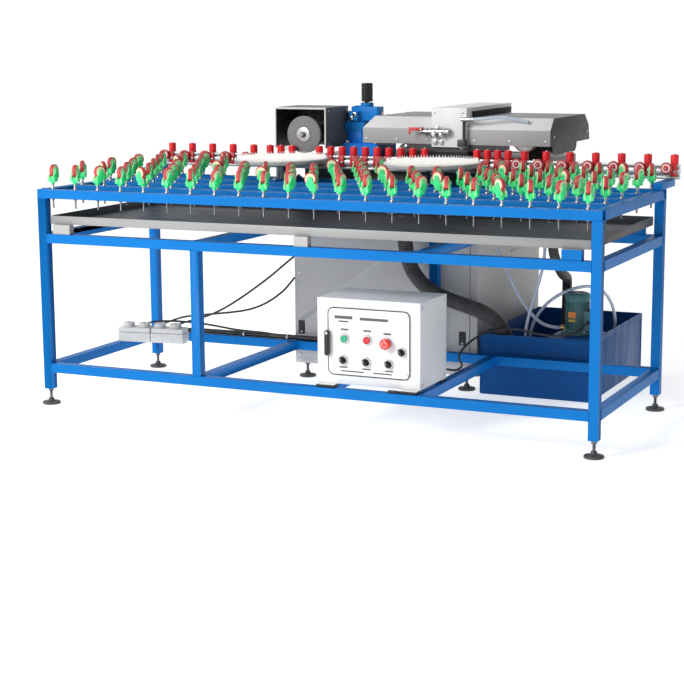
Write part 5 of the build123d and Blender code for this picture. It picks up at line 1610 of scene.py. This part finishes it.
def build_sockets():
    turn = Matrix.Translation((*SOCKET_ORIGIN, 0)) @ Matrix.Rotation(SOCKET_TURN, 4, "Z")
    base, top = SOCKET_BASE, SOCKET_BASE + MODULE[2]
    sockets = Piece("socket_module_pair")
    for number in range(2):
        start = number * (MODULE[0] + 2)
        outline = rounded_outline((start, start + MODULE[0]), (0, MODULE[1]), 6)
        sockets.add(prism(outline, base, base + 40, 2.0, 3), SOCKET_WHITE, turn)
        lid = rounded_outline((start + 1.5, start + MODULE[0] - 1.5), (1.5, MODULE[1] - 1.5), 6)
        sockets.add(prism(lid, base + 41.2, top, 2.5, 3), SOCKET_WHITE, turn)
        gap = rounded_outline((start + 3, start + MODULE[0] - 3), (3, MODULE[1] - 3), 5)
        sockets.add(prism(gap, base + 39, base + 42, 0), DARK_SEAM_AND_SHADE, turn)
        screws = [turn @ put(start + dx, y, top) for dx in (8, MODULE[0] - 8) for y in (8, 70)]
        sockets.add(disc_shape(3, -0.5, 0.8, 0.3, 12), STEEL, screws)
    plug = [(0, 0), (27.5, 0), (28, 2), (28, 4), (26, 5), (26, 15), (24.5, 18.5), (20, 20), (12, 20),
            (10, 18.6), (0, 18.6)]
    spots = [turn @ put(40 + number * PLUG_PITCH, 40, top) for number in range(4)]
    sockets.add(turned(plug, 40), SOCKET_WHITE, spots)
    sockets.add(box((-1, 1), (-7, 7), (18.4, 19.4), 0.3), DARK_SEAM_AND_SHADE, spots)
    sockets.add(box((4, 308), (20, 58), (LOW_TOP, base), 0.6), STEEL, turn)
    sockets.done(MACHINE, "socket_white", "socket_boxes")


# ---- cable ends and ties ----
def boot(start, toward, base_radius, tip_radius, length):
    """A tapered, ringed strain relief from start towards the next point of the cable."""
    direction = (Vector(toward) - Vector(start)).normalized()
    outline = [(tip_radius * 0.8, -3.0), (base_radius, -3.0), (base_radius, 0.0)]
    rings = 5
    for ring in range(rings):
        part = ring / rings
        radius = base_radius + (tip_radius - base_radius) * (part + 0.1)
        outline += [(radius, length * (part + 0.05)), (radius * 0.86, length * (part + 0.1)),
                    (radius * 0.86, length * (part + 0.17))]
    outline += [(tip_radius, length), (tip_radius * 0.8, length), (tip_radius * 0.8, -3.0)]
    shape = turned(outline, 20)
    shape.transform(Matrix.Translation(start) @ direction.to_track_quat("Z", "Y").to_matrix().to_4x4())
    return shape


def build_cable_ends():
    boots = Piece("strain_reliefs")
    ends = [(route[:2], 8.0, 5.4, 26, SOCKET_WHITE) for route in (PLUG_CABLE_1, PLUG_CABLE_2, PLUG_CABLE_3)]
    ends += [
        (CABLE_BUNDLE[:2], 15.0, 12.0, 30, SOCKET_WHITE), (PUMP_CABLE[:2], 8.5, 5.4, 24, BLACK),
        (PUMP_CABLE[:-3:-1], 8.5, 5.4, 28, BLACK), (CABLE_BUNDLE[:-3:-1], 15.0, 12.0, 30, BLACK),
        (PLUG_CABLE_1[:-3:-1], 8.5, 5.4, 24, BLACK), (PLUG_CABLE_2[:-3:-1], 8.5, 5.4, 24, BLACK),
    ]
    for (start, toward), base_radius, tip_radius, length, material in ends:
        boots.add(boot(start, toward, base_radius, tip_radius, length), material)
    boots.done(MACHINE, "black_plastic")
    ties = Piece("cable_ties")
    band = [(11.1, -3), (12.4, -3), (12.6, 0), (12.4, 3), (11.1, 3), (11.1, -3)]
    for x, y, z in ((480, 889.6, 188), (700, 890, 188), (950, 889.6, 188)):
        ties.add(turned(band, 28), TIE, put(x, y, z, "X"))
        ties.add(box((x - 4, x + 4), (y - 17, y - 11), (z - 3, z + 4), 0.8), TIE)
    ties.done(MACHINE, "clear_tube")


build_frame()
build_feet()
build_tray()
build_casters()
build_fence()
build_discs()
build_cabinet()
build_control_box()
build_controls()
build_wheel_head()
build_belt_head()
build_valve()
build_tank()
build_pump()
build_sockets()
build_cable_ends()
